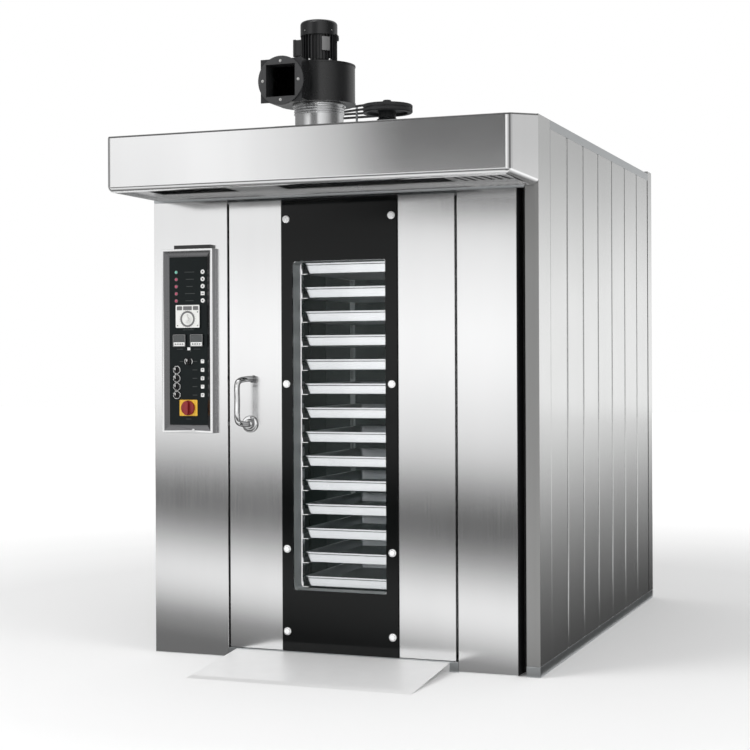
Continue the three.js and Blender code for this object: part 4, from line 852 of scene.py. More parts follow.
boxLooks = {
    "edge": 0.0014,
    "bevelInset": 0.0121,
    "capHeight": 0.0155,  # black cable cap on top
    "glands": 9,
    "glandPitch": 0.018,
    "rowStart": 0.291,  # lamps above the box's middle
    "rowPitch": 0.03025,
    "lampX": -0.056,
    "lampRadius": 0.0062,
    "iconX": 0.068,
    "iconRadius": 0.0095,
    "captionHeight": 0.0024,
    "timerSize": (0.112, 0.096),
    "timerStrip": 0.019,
    "timerRing": 0.034,
    "timerRingWidth": 0.0078,
    "controllerSize": (0.059, 0.052),
    "controllerX": 0.0405,
    "plateSize": (0.084, 0.068),
    "selectorBar": 0.008,
    "switchBar": 0.018,
    "rise": 0.0006,  # printed marks and faces over their carrier
    "faceDepth": 0.005,  # fascia's face behind its foremost point
    "moduleDepth": 0.011,
}
selectors = {"upper_selector_knob": "upper_selector"}
selectors.update({f"selector_knob_{number}": f"selector_{number}" for number in range(1, 5)})


def controlPlaces():
    low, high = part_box("control_fascia")
    return {
        "x": (low.x + high.x) / 2,
        "z": (low.z + high.z) / 2,
        "face": high.y - boxLooks["faceDepth"],
        "module": high.y - boxLooks["moduleDepth"],
        "timerZ": middle("timer_dial").z,
        "bottom": low.z,
    }


def makeHousing():
    look = boxLooks
    housing = roundedNode("control_box", "control_housing", "frontSteel", look["edge"], 0.03)
    low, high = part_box("control_housing")
    inset = look["bevelInset"]
    mesh = housing.data
    for finish in ("boxSteelAndSideShade", "blackPaint", "boxSteelAndSideShade"):
        mesh.materials.append(finishes[finish])
    room = inset - 0.0025

    def inFace(point):
        return low.x + room < point.x < high.x - room and low.z + room < point.z < high.z - room - 0.016

    for polygon in mesh.polygons:
        points = [mesh.vertices[index].co for index in polygon.vertices]
        if all(inFace(point) for point in points):
            polygon.material_index = 1
        if polygon.center.z > high.z - look["capHeight"]:
            polygon.material_index = 2
        # painted shade: the box's right side face takes the darker box steel, as if turned away from the light
        if abs(polygon.normal.x) > 0.9 and max(p.x for p in points) > high.x - 0.002:
            polygon.material_index = 3
    bm = bmesh.new()
    gland = [(0.0005, 0), (0.006, 0), (0.0052, 0.004), (0.002, 0.006), (0.0005, 0.006)]
    for i in range(look["glands"]):
        x = high.x - inset - 0.012 - i * look["glandPitch"]
        addTurned(bm, gland, (x, low.y + 0.014, high.z - 0.0062), upward, 16)
    addPiece(bm, "cable_glands", "blackPlastic", sharpAngle=40)


def arcPoints(centre, radius, start):
    return [polar(centre, radius, math.radians(start + 8 * k)) for k in range(11)]


def makeFascia():
    look, spot = boxLooks, controlPlaces()
    x0, z0, face, rise = spot["x"], spot["z"], spot["face"], look["rise"]
    rows = [z0 + look["rowStart"] - i * look["rowPitch"] for i in range(5)]
    lampX, radius = x0 + look["lampX"], look["lampRadius"]
    bm = bmesh.new()
    bezel = [(0.0058, 0.0002), (0.0078, 0.0002), (0.0078, 0.0014), (0.0072, 0.002), (0.0058, 0.002)]
    for z in rows:
        addTurned(bm, bezel, (lampX, face, z), toFront, 32, True)
    addPiece(bm, "lamp_bezels", "timerGrey", sharpAngle=40)
    dome = [(0.0004, 0), (radius, 0)]
    dome += [(radius * math.cos(math.radians(a)), 0.0022 + 0.0030 * math.sin(math.radians(a)))
             for a in range(0, 90, 15)]
    dome += [(0.0004, 0.0053)]
    for name, lit, finish, slot in (("lamp_green", rows[:1], "lampGreen", "white_plastic"),
                                    ("lamps_red", rows[1:], "lampRed", "red_plastic")):
        bm = bmesh.new()
        for z in lit:
            addTurned(bm, dome, (lampX, face, z), toFront, 32)
        addPiece(bm, name, finish, sharpAngle=50)

    # printed pads at the right, each with a plain dark mark
    pads, marks, captions = bmesh.new(), bmesh.new(), bmesh.new()

    def print2d(bm, outline, layer=0):
        front = face - (layer + 1) * rise
        addPrism(bm, outline, front, face - layer * rise if layer else face - 0.0001, "y")

    for i, z in enumerate(rows):
        centre, square = (x0 + look["iconX"], z), i == 3
        print2d(pads, rectangle(0.018, 0.016, centre) if square else circle(look["iconRadius"], centre, 32))
        dot = 0.0028 + 0.0006 * (i % 2)
        print2d(marks, rectangle(0.010, 0.0022, centre) if square else circle(dot, centre, 20), 1)
    for i, node in enumerate(selectors):
        x, z = x0 + look["iconX"] - 0.002, middle(node).z
        print2d(pads, roundedRect(0.016, 0.016, 0.003, 4, (x, z)))
        for k in range(1 + i % 3):
            print2d(marks, rectangle(0.009 - 0.002 * k, 0.0016, (x, z + 0.003 - 0.0034 * k)), 1)
    print2d(pads, rectangle(0.014, 0.012, (x0 + 0.002, z0 - 0.033)))
    # surrounds of the four lower selectors, and the arcs of the upper one
    upper, *lower = (middle(node) for node in selectors)
    for at in lower:
        surround = [circle(size, (at.x, at.z), 8, math.pi / 8) for size in (0.0178, 0.0154)]
        addPlate(pads, surround, face - rise, face - 0.0001, "y")
    for start in (-40, 140):
        inner = arcPoints((upper.x, upper.z), 0.0163, start)
        print2d(pads, arcPoints((upper.x, upper.z), 0.0185, start) + inner[::-1])
    bars = [(0.006 + 0.002 * (i % 2), z, 0.046 - 0.008 * (i % 3)) for i, z in enumerate(rows)]
    bars += [(0.030, middle(node).z, 0.022) for node in selectors]
    bars += [(-0.040, z0 - 0.034, 0.030), (0.040, z0 - 0.034, 0.030), (-0.033, upper.z, 0.018),
             (0.0, spot["bottom"] + 0.024, 0.024), (0.0, spot["timerZ"] - 0.047, 0.052)]
    for x, z, width in bars:
        print2d(captions, rectangle(width, look["captionHeight"], (x0 + x, z)))
    addPiece(captions, "caption_lines", "captionGrey")
    addPiece(pads, "printed_pads", "iconWhite")
    addPiece(marks, "printed_marks", "blackPlastic")
    print("fascia")


def makeTimer():
    look, spot = boxLooks, controlPlaces()
    x0, rise = spot["x"], look["rise"]
    face, back = spot["module"] - 0.0015, spot["module"] - 0.0014
    width, height = look["timerSize"]
    zc = spot["timerZ"] + 0.0095
    bm = bmesh.new()
    addPrism(bm, roundedRect(width, height, 0.004, 5, (x0, zc)), face, spot["module"] + 0.0045, "y", 0.0006)
    addPiece(bm, "timer_face", "whitePlastic")
    bm = bmesh.new()
    strip = look["timerStrip"]
    stripZ = zc + height / 2 - strip / 2 - 0.004
    for x, w in ((-0.038, 0.024), (0.0, 0.040), (0.038, 0.024)):
        bar = roundedRect(w, strip - 0.003, 0.002, 4, (x0 + x, stripZ))
        addPrism(bm, bar, face - 2 * rise, back, "y", 0.0003)
    dial, ring = (x0, spot["timerZ"] - 0.0015), look["timerRing"]
    rings = [circle(radius, dial, 72) for radius in (ring, ring - look["timerRingWidth"])]
    addPlate(bm, rings, face - rise, back, "y")
    tickStart, half = ring + 0.0012, 0.0005
    for k, angle in enumerate(evenAngles(24)):
        tickEnd = 0.0375 if k % 6 else 0.0392
        aside = (-math.sin(angle) * half, math.cos(angle) * half)
        inner, outer = polar(dial, tickStart, angle), polar(dial, tickEnd, angle)
        tick = [(x + side * aside[0], z + side * aside[1])
                for (x, z), side in ((inner, -1), (outer, -1), (outer, 1), (inner, 1))]
        addPrism(bm, tick, face - rise, back, "y")
    screw = [(0.0003, 0), (0.0028, 0), (0.0026, 0.0008), (0.0003, 0.0008)]
    for x, z in ((-0.047, -0.039), (0.047, -0.039), (0.047, 0.018)):
        addTurned(bm, screw, (x0 + x, back, zc + z), toFront, 16)
    addPiece(bm, "timer_scale", "timerGrey")
    low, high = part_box("timer_dial")
    depth, radius = high.y - low.y, (high.x - low.x) / 2
    core, z = radius * 0.66, low.z + radius
    profile = [(0.0005, 0.0019), (radius, 0.0019), (radius, depth * 0.22), (radius - 0.0012, depth * 0.28),
               (core + 0.0008, depth * 0.30), (core, depth * 0.36), (core - 0.0012, depth - 0.0015),
               (core - 0.0030, depth), (0.0005, depth)]
    bm = bmesh.new()
    addTurned(bm, profile, (x0, high.y, z), toFront, 56)
    pointer = [(x0 - 0.0022, z), (x0 + 0.0022, z), (x0 + 0.0009, high.z), (x0 - 0.0009, high.z)]
    addPrism(bm, pointer, high.y - depth * 0.4, high.y - 0.0019, "y", 0.0004)
    addPiece(bm, "timer_knob", "whitePlastic", ["timer_dial"], "timer", 40)
    print("timer")


def makeControllers():
    look, spot = boxLooks, controlPlaces()
    x0, z0, module = spot["x"], spot["z"] + 0.002, spot["module"]
    width, height = look["controllerSize"]
    screenZ, keyZ = z0 + height * 0.155, z0 - height * 0.285
    frames, screens, keys = bmesh.new(), bmesh.new(), bmesh.new()
    for side in (-1, 1):
        x = x0 + side * look["controllerX"]
        outer = roundedRect(width, height, 0.003, 4, (x, z0))
        opening = roundedRect(width - 0.006, height - 0.006, 0.002, 4, (x, z0))
        addPlate(frames, [outer, opening], module - 0.0022, module + 0.004, "y")
        screen = roundedRect(width - 0.0062, height * 0.56, 0.0015, 4, (x, screenZ))
        addPrism(screens, screen, module - 0.0010, module + 0.0006, "y")
        pad = roundedRect(width - 0.0064, height * 0.30, 0.0015, 4, (x, keyZ))
        addPrism(keys, pad, module - 0.0014, module + 0.0006, "y", 0.0003)
        for k in range(4):
            key = roundedRect(0.0075, 0.0042, 0.001, 3, (x - 0.0165 + 0.011 * k, keyZ))
            addPrism(screens, key, module - 0.0020, module - 0.0013, "y")
    addPiece(frames, "controller_frames", "timerGrey")
    addPiece(screens, "controller_screens", "displayDark")
    addPiece(keys, "controller_keys", "iconWhite")
    print("controllers")


def startKnob(node, barWidth):
    # round skirt with a grip bar; returns the middle of its foot too
    low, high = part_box(node)
    at = ((low.x + high.x) / 2, high.y, (low.z + high.z) / 2)
    radius, height = (high.x - low.x) / 2, high.y - low.y
    skirt = [(0.0005, 0.0003), (radius * 0.97, 0.0003), (radius, 0.0012), (radius, height * 0.30),
             (radius * 0.96, height * 0.40), (radius * 0.90, height * 0.45), (0.0005, height * 0.45)]
    bm = bmesh.new()
    addTurned(bm, skirt, at, toFront, 48)
    bar = roundedRect(barWidth, radius * 1.88, barWidth * 0.42, 6, (at[0], at[2]))
    addPrism(bm, bar, at[1] - height, at[1] - height * 0.3, "y", min(0.0018, barWidth * 0.12))
    return bm, at


def makeKnobs():
    look = boxLooks
    bm, at = startKnob("main_switch_knob", look["switchBar"])
    addPiece(bm, "switch_knob", "redPlastic", ["main_switch_knob"], "main_switch", 40)
    bm = bmesh.new()
    centre = (at[0], at[2])
    addPrism(bm, roundedRect(*look["plateSize"], 0.003, 5, centre), at[1] - 0.0001, at[1] + 0.0019, "y", 0.0004)
    addPlate(bm, [circle(0.0328, centre, 56), circle(0.0315, centre, 56)], at[1] - 0.0012, at[1], "y")
    for x, z in rectangle(0.072, 0.056, centre):
        addTurned(bm, [(0.0003, 0), (0.003, 0), (0.0027, 0.0009), (0.0003, 0.0009)], (x, at[1], z), toFront, 20)
    addPiece(bm, "switch_plate", "yellowPlate", sharpAngle=40)
    for node, body in selectors.items():
        bm, at = startKnob(node, look["selectorBar"])
        addPiece(bm, f"{node}_turned", "blackPlastic", [node], body, 40)
        bm = bmesh.new()
        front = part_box(node)[0].y
        pointer = roundedRect(0.0034, 0.011, 0.0012, 4, (at[0], at[2] + 0.0045))
        addPrism(bm, pointer, front - 0.0003, front + 0.0002, "y")
        addPiece(bm, f"{node}_pointer", "iconWhite", body=body)
    print("knobs")


makeHousing()
makeFascia()
makeTimer()
makeControllers()
makeKnobs()


# ---- hood

hoodLooks = {
    "roofZ": 2.2,
    "roll": 0.024,
    "corner": 0.022,
    "sheet": 0.016,
    "lip": 0.026,
    "lipRise": 0.0165,
    "topFold": 0.004,
    "darkFold": 0.0035,  # shaded seam under the top edge
    "darkDepth": 0.001,
    "slopeDrop": 0.052,
    "topInset": 0.0045,  # sloping top plate inside the folded edge
    "gap": 0.0005,
    "footHeight": 0.014,
    "seamWidth": 0.004,
    "shadeSheetRise": 0.16,
    "shadeSheetDepth": 0.33,
    "spigotRadius": 0.1,
    "spigotInner": 0.095,
    "beads": 3,
    "beadRadius": 0.004,
    "beadPitch": 0.010,
    "flangeReach": 0.006,
    "flangeHeight": 0.008,
}


def makeHood():
    look = hoodLooks
    low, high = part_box("hood")
    bottom, roofZ, corner, gap = low.z, look["roofZ"], look["corner"], look["gap"]
    slope = look["slopeDrop"] / (high.y - low.y)

    def onSlope(y, drop=0.0):
        return roofZ - slope * (high.y - y) - drop

    path = [((low.x, high.y), (-1, 0))]
    for cx, start in ((low.x + corner, 180), (high.x - corner, 270)):
        for k in range(9):
            a = math.radians(start + 90 * k / 8)
            path.append((polar((cx, low.y + corner), corner, a), polar((0, 0), 1, a)))
    path.append(((high.x, high.y), (1, 0)))
    roll, fold, lip, sheet = look["roll"], look["topFold"], look["lip"], look["sheet"]
    lipZ, dark, deep = bottom + look["lipRise"], look["darkFold"], look["darkDepth"]
    arc = [math.radians(90 * k / 8) for k in range(1, 9)]
    loops = []
    for (x, y), (nx, ny) in path:
        top = onSlope(y)
        section = [(-sheet, top - 0.002), (-sheet, lipZ), (-lip, lipZ), (-lip, bottom + 0.0012),
                   (-lip + 0.0012, bottom), (-roll, bottom)]
        section += [(-roll + roll * math.sin(a), bottom + roll - roll * math.cos(a)) for a in arc]
        section += [(0, top - fold - dark), (-deep, top - fold - dark + 0.0008), (-deep, top - fold),
                    (-0.0022, top - 0.0012), (-fold, top)]
        loops.append([(x + nx * out, y + ny * out, z) for out, z in section])
    bm = bmesh.new()
    rings = addLoops(bm, loops)
    # painted shade: the recessed strip and step under the top edge take a dark grey
    count = len(rings[0])
    for ring, following in zip(rings, rings[1:]):
        for i in (count - 4, count - 3):
            for face in set(ring[i].link_faces) & set(ring[i + 1].link_faces) & set(following[i].link_faces):
                face.material_index = 1
    # sloping top plate, and the rear wall with its foot
    edge = look["topInset"]
    plan = [(low.x + edge, low.y + corner), (low.x + corner, low.y + edge), (high.x - corner, low.y + edge),
            (high.x - edge, low.y + corner), (high.x - edge, high.y - gap), (low.x + edge, high.y - gap)]
    addLoops(bm, [[(x, y, onSlope(y, drop)) for x, y in plan] for drop in (sheet, 0.0003)])
    for inset, z0, z1, bevel in ((sheet, lipZ, roofZ - sheet - gap, 0.0),
                                 (lip, bottom, bottom + look["footHeight"], 0.001)):
        x0, x1 = low.x + inset + gap, high.x - inset - gap
        addPrism(bm, [(x0, z0), (x1, z0), (x1, z1), (x0, z1)], high.y - inset, high.y, "y", bevel)
    mesh = finishMesh(bm, "hood_shell", 28)
    for finish in ("hoodSteel", "shadeLineGrey"):
        mesh.materials.append(finishes[finish])
    place("hood_shell", mesh, None, "cabinet", ["hood"])
    # seam of each end sheet, behind the rounded front corner
    bm = bmesh.new()
    y0 = low.y + corner + 0.001
    y1, seamTop = y0 + look["seamWidth"], onSlope(y0, 0.008)
    seam = [(y0, bottom + roll), (y1, bottom + roll), (y1, seamTop), (y0, seamTop)]
    for x0, x1 in ((low.x, low.x + deep), (high.x - deep, high.x)):
        addPrism(bm, seam, x0, x1, "x")
    addPiece(bm, "hood_seams", "seamShadow")
    # painted shade: a dark sheet behind the intakes, where the inside of the hood lies in shadow
    bm = bmesh.new()
    shadeSheet = rectangle(high.x - low.x - 0.06, look["shadeSheetDepth"], (0, (low.y + high.y) / 2))
    addPlate(bm, [shadeSheet], bottom + look["shadeSheetRise"], bottom + look["shadeSheetRise"] + 0.001)
    addPiece(bm, "hood_intake_shade", "seamShadow")
    print("hood")


def makeSpigot():
    look = hoodLooks
    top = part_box("hood")[1].z
    radius, bead, inner = look["spigotRadius"], look["beadRadius"], look["spigotInner"]
    flangeZ = top - look["flangeHeight"]
    valley, reach = radius - bead, radius + look["flangeReach"]
    base = look["roofZ"] - look["slopeDrop"] * 0.75
    profile = [(inner, base), (valley, base)]
    for i in range(look["beads"], 0, -1):
        z = flangeZ - i * look["beadPitch"]
        profile += [(valley + bead * math.sin(math.radians(k)), z - bead * math.cos(math.radians(k)))
                    for k in range(0, 181, 20)]
    profile += [(valley, flangeZ - 0.002), (valley + 0.002, flangeZ), (reach - 0.001, flangeZ),
                (reach, flangeZ + 0.001), (reach, top - 0.0012), (reach - 0.0012, top),
                (inner + 0.0012, top), (inner, top - 0.0012)]
    bm = bmesh.new()
    addTurned(bm, profile, (blowerAxis.x, blowerAxis.y, 0), upward, 96, True)
    addPiece(bm, "spigot", "spigotSteel", sharpAngle=40)
    bm = bmesh.new()
    addBoltCircle(bm, (blowerAxis.x, blowerAxis.y, flangeZ), reach - 0.004, (-75, 15, 105, 195), (0, 0, -1),
                  0.008, 0.005)
    addPiece(bm, "spigot_bolts", "screwSteel")
    print("spigot")


makeHood()
makeSpigot()


# ---- steam blower

blowerLooks = {
    "scroll": 0.140,
    "growth": 0.040,
    "sheet": 0.004,
    "inlet": 0.093,
    "plate": (0.172, 0.168),
    "plateThickness": 0.006,
    "flangeRadius": 0.095,
    "flangeBehind": 0.0052,
    "opening": (0.121, 0.124),
    "ductDepth": 0.06,
    "ductSheet": 0.003,
    "boltCircle": 0.075,
    "outletDrop": 0.006,
    "seam": 0.0022,
    "seamHeight": 0.006,
    "reach": 0.200,
    "motorRadius": 0.0725,
    "motorFoot": 0.086,
    "fins": 30,
    "finDepth": 0.0085,
    "finGap": 22,  # degrees left free on each side of the terminal box
    "motorLength": 0.121,
    "cowlHeight": 0.058,
}


def scrollPoints(inset, steps=72):
    look = blowerLooks
    edgeX = -look["scroll"] - look["growth"] / 2 + look["plate"][0] - look["sheet"]
    tongue = -math.acos(edgeX / look["scroll"])
    angles = [tongue + (math.pi - tongue) * i / steps for i in range(steps + 1)]
    start, turn = look["scroll"] - inset, look["growth"] / (2 * math.pi)
    return [polar((0, 0), start + turn * angle, angle) for angle in angles]


def addStrip(bm, outer, inner, bottom, top):
    # a wall between two open plan lines
    addLoops(bm, [[(*a, bottom), (*a, top), (*b, top), (*b, bottom)] for a, b in zip(outer, inner)])


def makeCasing():
    look = blowerLooks
    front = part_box("exhaust_volute")[0].y + look["flangeBehind"]
    bottom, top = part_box("hood")[1].z + 0.0003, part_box("exhaust_motor")[0].z - 0.0003
    ax, ay = blowerAxis.x, blowerAxis.y
    sheet, thick, lip = look["sheet"], look["plateThickness"], look["seam"]
    leftX = -look["scroll"] - look["growth"] / 2
    rightX = leftX + look["plate"][0] - sheet

    def moved(points):
        return [(ax + x, ay + y) for x, y in points]

    def wallPlan(inset):
        end = thick - look["reach"]
        return moved([(rightX - inset, end)] + scrollPoints(inset) + [(leftX + inset, end)])

    bm = bmesh.new()
    addStrip(bm, wallPlan(0), wallPlan(sheet), bottom + 0.001, top - 0.001)
    inlet, shaftHole = circle(look["inlet"], (ax, ay), 64), circle(0.014, (ax, ay), 24)
    for hole, z in ((inlet, bottom), (shaftHole, top - sheet * 0.5)):
        addPlate(bm, [wallPlan(0), hole], z, z + sheet * 0.5)
    # folded seams at both ends of the wall
    seam = moved([(x * (1 + lip / 0.15), y * (1 + lip / 0.15)) for x, y in scrollPoints(0)])
    for z in (bottom + 0.0002, top - look["seamHeight"]):
        addStrip(bm, seam, moved(scrollPoints(0.0005)), z, z + look["seamHeight"] - 0.0002)
    addPiece(bm, "blower_casing", "blackPaint", ["exhaust_volute"], sharpAngle=35)
    # square plate and round flange round the outlet
    outlet = (ax + (leftX + rightX) / 2, (bottom + top) / 2 - look["outletDrop"])
    plateY = ay - look["reach"]
    opening = rectangle(*look["opening"], outlet)
    bm = bmesh.new()
    addPlate(bm, [rectangle(*look["plate"], outlet), opening], plateY, plateY + thick, "y")
    bevelEdges(bm, 0.0008)
    addPiece(bm, "outlet_plate", "castBlack")
    bm = bmesh.new()
    addPlate(bm, [circle(look["flangeRadius"], outlet, 72), opening], front, plateY - 0.0001, "y")
    duct = rectangle(*(side + 2 * look["ductSheet"] for side in look["opening"]), outlet)
    addPlate(bm, [duct, opening], plateY + thick, plateY + look["ductDepth"], "y")
    bevelEdges(bm, 0.0012)
    addPiece(bm, "outlet_flange", "ringBlack")
    bm = bmesh.new()
    addBoltCircle(bm, (outlet[0], front, outlet[1]), look["boltCircle"], (0, 90, 180, 270), toFront,
                  0.0075, 0.0042, 0.0058)
    addPiece(bm, "outlet_bolts", "screwSteel")
    print("blower casing")


def makeMotor():
    look = blowerLooks
    ax, ay = axis = (blowerAxis.x, blowerAxis.y)
    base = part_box("exhaust_motor")[0].z
    radius, foot, length = look["motorRadius"], look["motorFoot"], look["motorLength"]
    core, cowlZ = radius - look["finDepth"], base + length
    bm = bmesh.new()
    barrel = [(0.0125, 0), (foot - 0.001, 0), (foot, 0.001), (foot, 0.009), (foot - 0.001, 0.010),
              (foot - 0.010, 0.0105), (core + 0.004, 0.014), (core, 0.018), (core, length - 0.008),
              (core + 0.004, length - 0.004), (core + 0.005, length), (0.0125, length)]
    addTurned(bm, barrel, (ax, ay, base), upward, 96, True)
    fin = [(core - 0.001, -0.0022), (radius - 0.001, -0.0012), (radius, 0), (radius - 0.001, 0.0012),
           (core - 0.001, 0.0022)]
    addFins(bm, axis, look["fins"], fin, base + 0.016, cowlZ - 0.001, gap=look["finGap"])
    addPiece(bm, "motor_barrel", "motorBlack", ["exhaust_motor"], sharpAngle=40)
    bm = bmesh.new()
    wide, height = radius + 0.001, look["cowlHeight"]
    shoulder = height * 0.66
    cowl = [(wide - 0.0025, -0.006), (wide, -0.006), (wide, shoulder)]
    cowl += [(wide - 0.016 + 0.016 * math.cos(math.radians(a)), shoulder + 0.014 * math.sin(math.radians(a)))
             for a in range(10, 91, 10)]
    cowl += [(0.045, height - 0.0035), (0.02, height - 0.0006), (0.002, height), (0.002, height - 0.0025),
             (0.045, height - 0.006), (wide - 0.0165, shoulder + 0.009), (wide - 0.0025, shoulder - 0.004)]
    addTurned(bm, [(far, cowlZ + rise) for far, rise in cowl], (ax, ay, 0), upward, 96, True)
    addPiece(bm, "motor_cowl", "blackPaint", sharpAngle=40)
    bm = bmesh.new()
    for angle in (math.radians(-115 + 90 * k) for k in range(4)):
        outward = (math.cos(angle), math.sin(angle), 0)
        addBolt(bm, (*polar(axis, wide, angle), cowlZ + 0.010), outward, 0.006, 0.003)
    addBoltCircle(bm, (ax, ay, base + 0.0104), foot - 0.0065, range(-95, 265, 60), upward, 0.010, 0.006, 0.0062)
    addPiece(bm, "motor_screws", "screwSteel")
    # terminal box, bare plate and lifting hook
    bm = bmesh.new()
    addBox(bm, (ax - radius - 0.0255, ay - 0.032, base + 0.038),
           (ax - core + 0.004, ay + 0.032, base + 0.104), 0.004, 3)
    addBox(bm, (ax - radius - 0.0258, ay - 0.0335, base + 0.0365),
           (ax - radius - 0.013, ay + 0.0335, base + 0.1055), 0.003, 3)
    hook = [(-0.002, 0), (0.0110, 0.002), (0.0118, 0.010), (0.0108, 0.022), (0.004, 0.029), (-0.002, 0.030),
            (-0.002, 0.024), (0.003, 0.021), (0.0058, 0.014), (0.0045, 0.008), (-0.002, 0.008)]
    addPrism(bm, [(ax + radius + x, cowlZ - 0.030 + z) for x, z in hook], ay - 0.004, ay + 0.004, "y", 0.0008)
    addPiece(bm, "motor_fittings", "motorBlack", sharpAngle=35)
    bm = bmesh.new()
    section = [(radius - 0.002, base + 0.050), (radius + 0.0006, base + 0.050),
               (radius + 0.0006, base + 0.104), (radius - 0.002, base + 0.104)]
    addLoops(bm, [[(*polar(axis, r, math.radians(-58 + 26 * k / 6)), z) for r, z in section] for k in range(7)])
    addPiece(bm, "motor_plate", "barePlate")
    print("blower motor")


makeCasing()
makeMotor()


# ---- rack drive on the roof

driveLooks = {
    "rackPulley": 0.110,
    "smallPulley": 0.055,
    "grooveWidth": 0.0116,
    "grooveDepth": 0.009,
    "height": 0.036,
    "beltSpacing": 0.017,
    "beltWidth": 0.0108,
    "beltOver": 0.0027,
    "beltUnder": -0.0012,
    "boltCircle": 0.066,
    "gearboxHalf": 0.06,
    "lidDepth": 0.036,
    "ribs": (0.030, 0.055),
    "barrelRadius": 0.055,
    "barrelFins": 26,
}


def pulleyProfile(radius, hub, bore, hubBottom):
    # heights from the wheel's lower face
    look = driveLooks
    top, middleZ = look["height"], look["height"] / 2
    profile = [(bore, hubBottom), (hub - 0.001, hubBottom), (hub, hubBottom + 0.001), (hub, 0.006),
               (hub + 0.004, 0.010), (radius * 0.80, 0.010), (radius * 0.83, 0.006), (radius * 0.84, 0),
               (radius - 0.001, 0), (radius, 0.001)]
    half, deep = look["grooveWidth"] / 2, look["grooveDepth"]
    for side in (-0.5, 0.5):
        z = middleZ + side * look["beltSpacing"]
        profile += [(radius, z - half), (radius - deep, z - half * 0.5), (radius - deep, z + half * 0.5),
                    (radius, z + half)]
    profile += [(radius, top - 0.001), (radius - 0.001, top), (radius * 0.84, top),
                (radius * 0.83, top - 0.008), (radius * 0.80, top - 0.012), (hub + 0.004, top - 0.012),
                (hub, top - 0.008), (hub, top), (bore, top)]
    return profile


def beltLoop(centre, other, bigRadius, smallRadius, steps=48):
    run = Vector(other) - Vector(centre)
    heading = math.atan2(run.y, run.x)
    lean = math.acos((bigRadius - smallRadius) / run.length)
    wrap, few = 2 * math.pi - 2 * lean, steps // 2
    points = [polar(centre, bigRadius, heading + lean + wrap * i / steps) for i in range(steps + 1)]
    return points + [polar(other, smallRadius, heading - lean + 2 * lean * i / few) for i in range(few + 1)]


def makeDrive():
    look = driveLooks
    low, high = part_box("rack_pulley")
    smallLow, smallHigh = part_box("gearmotor_pulley")
    small = middle("gearmotor_pulley")
    bottom = high.z - look["height"]
    centre, other = (rackAxis.x, rackAxis.y), (small.x, small.y)
    bm = bmesh.new()
    wheel = pulleyProfile(look["rackPulley"], 0.039, 0.0184, low.z - bottom)
    addTurned(bm, wheel, (*centre, bottom), upward, 96, True)
    addPiece(bm, "rack_wheel", "castBlack", ["rack_pulley"], "rack", 30)
    bm = bmesh.new()
    wheel = pulleyProfile(look["smallPulley"], 0.024, 0.0142, smallLow.z + 0.036 - bottom)
    addTurned(bm, wheel, (*other, bottom), upward, 64, True)
    length = smallHigh.z - smallLow.z
    shaft = [(0.0005, 0), (0.0138, 0), (0.0138, length - 0.001), (0.0128, length), (0.0005, length)]
    addTurned(bm, shaft, (*other, smallLow.z), upward, 40)
    addPiece(bm, "gearmotor_wheel", "castBlack", ["gearmotor_pulley"], "gearmotor_output", 30)
    bm = bmesh.new()
    half, over, under = look["beltWidth"] / 2, look["beltOver"], look["beltUnder"]
    for side in (-0.5, 0.5):
        z = bottom + look["height"] / 2 + side * look["beltSpacing"]
        rows = []
        for outward, height in ((over, -half), (over, half), (under, half * 0.82), (under, -half * 0.82)):
            loop = beltLoop(centre, other, look["rackPulley"] + outward, look["smallPulley"] + outward)
            rows.append([(x, y, z + height) for x, y in loop])
        addLoops(bm, rows + [rows[0]], False, False)
    bmesh.ops.remove_doubles(bm, verts=bm.verts, dist=0.00001)
    addPiece(bm, "drive_belts", "beltRubber", ["drive_belt"], sharpAngle=40)
    # bearing housing with its four bolts
    bearingLow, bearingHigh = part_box("spindle_bearing")
    rise = bearingHigh.z - bearingLow.z
    housing = [(0.0187, 0), (0.074, 0), (0.075, 0.001), (0.075, 0.011), (0.074, 0.012), (0.060, 0.014),
               (0.053, 0.022), (0.049, 0.034), (0.048, 0.044), (0.048, rise - 0.010), (0.0465, rise - 0.005),
               (0.042, rise - 0.001), (0.040, rise), (0.0187, rise)]
    bm = bmesh.new()
    addTurned(bm, housing, (*centre, bearingLow.z), upward, 80, True)
    addPiece(bm, "bearing_housing", "castBlack", ["spindle_bearing"], sharpAngle=30)
    bm = bmesh.new()
    addBoltCircle(bm, (*centre, bearingLow.z + 0.0124), look["boltCircle"], (45, 135, 225, 315), upward,
                  0.013, 0.008)
    addPiece(bm, "bearing_bolts", "screwSteel")
    print("rack drive")


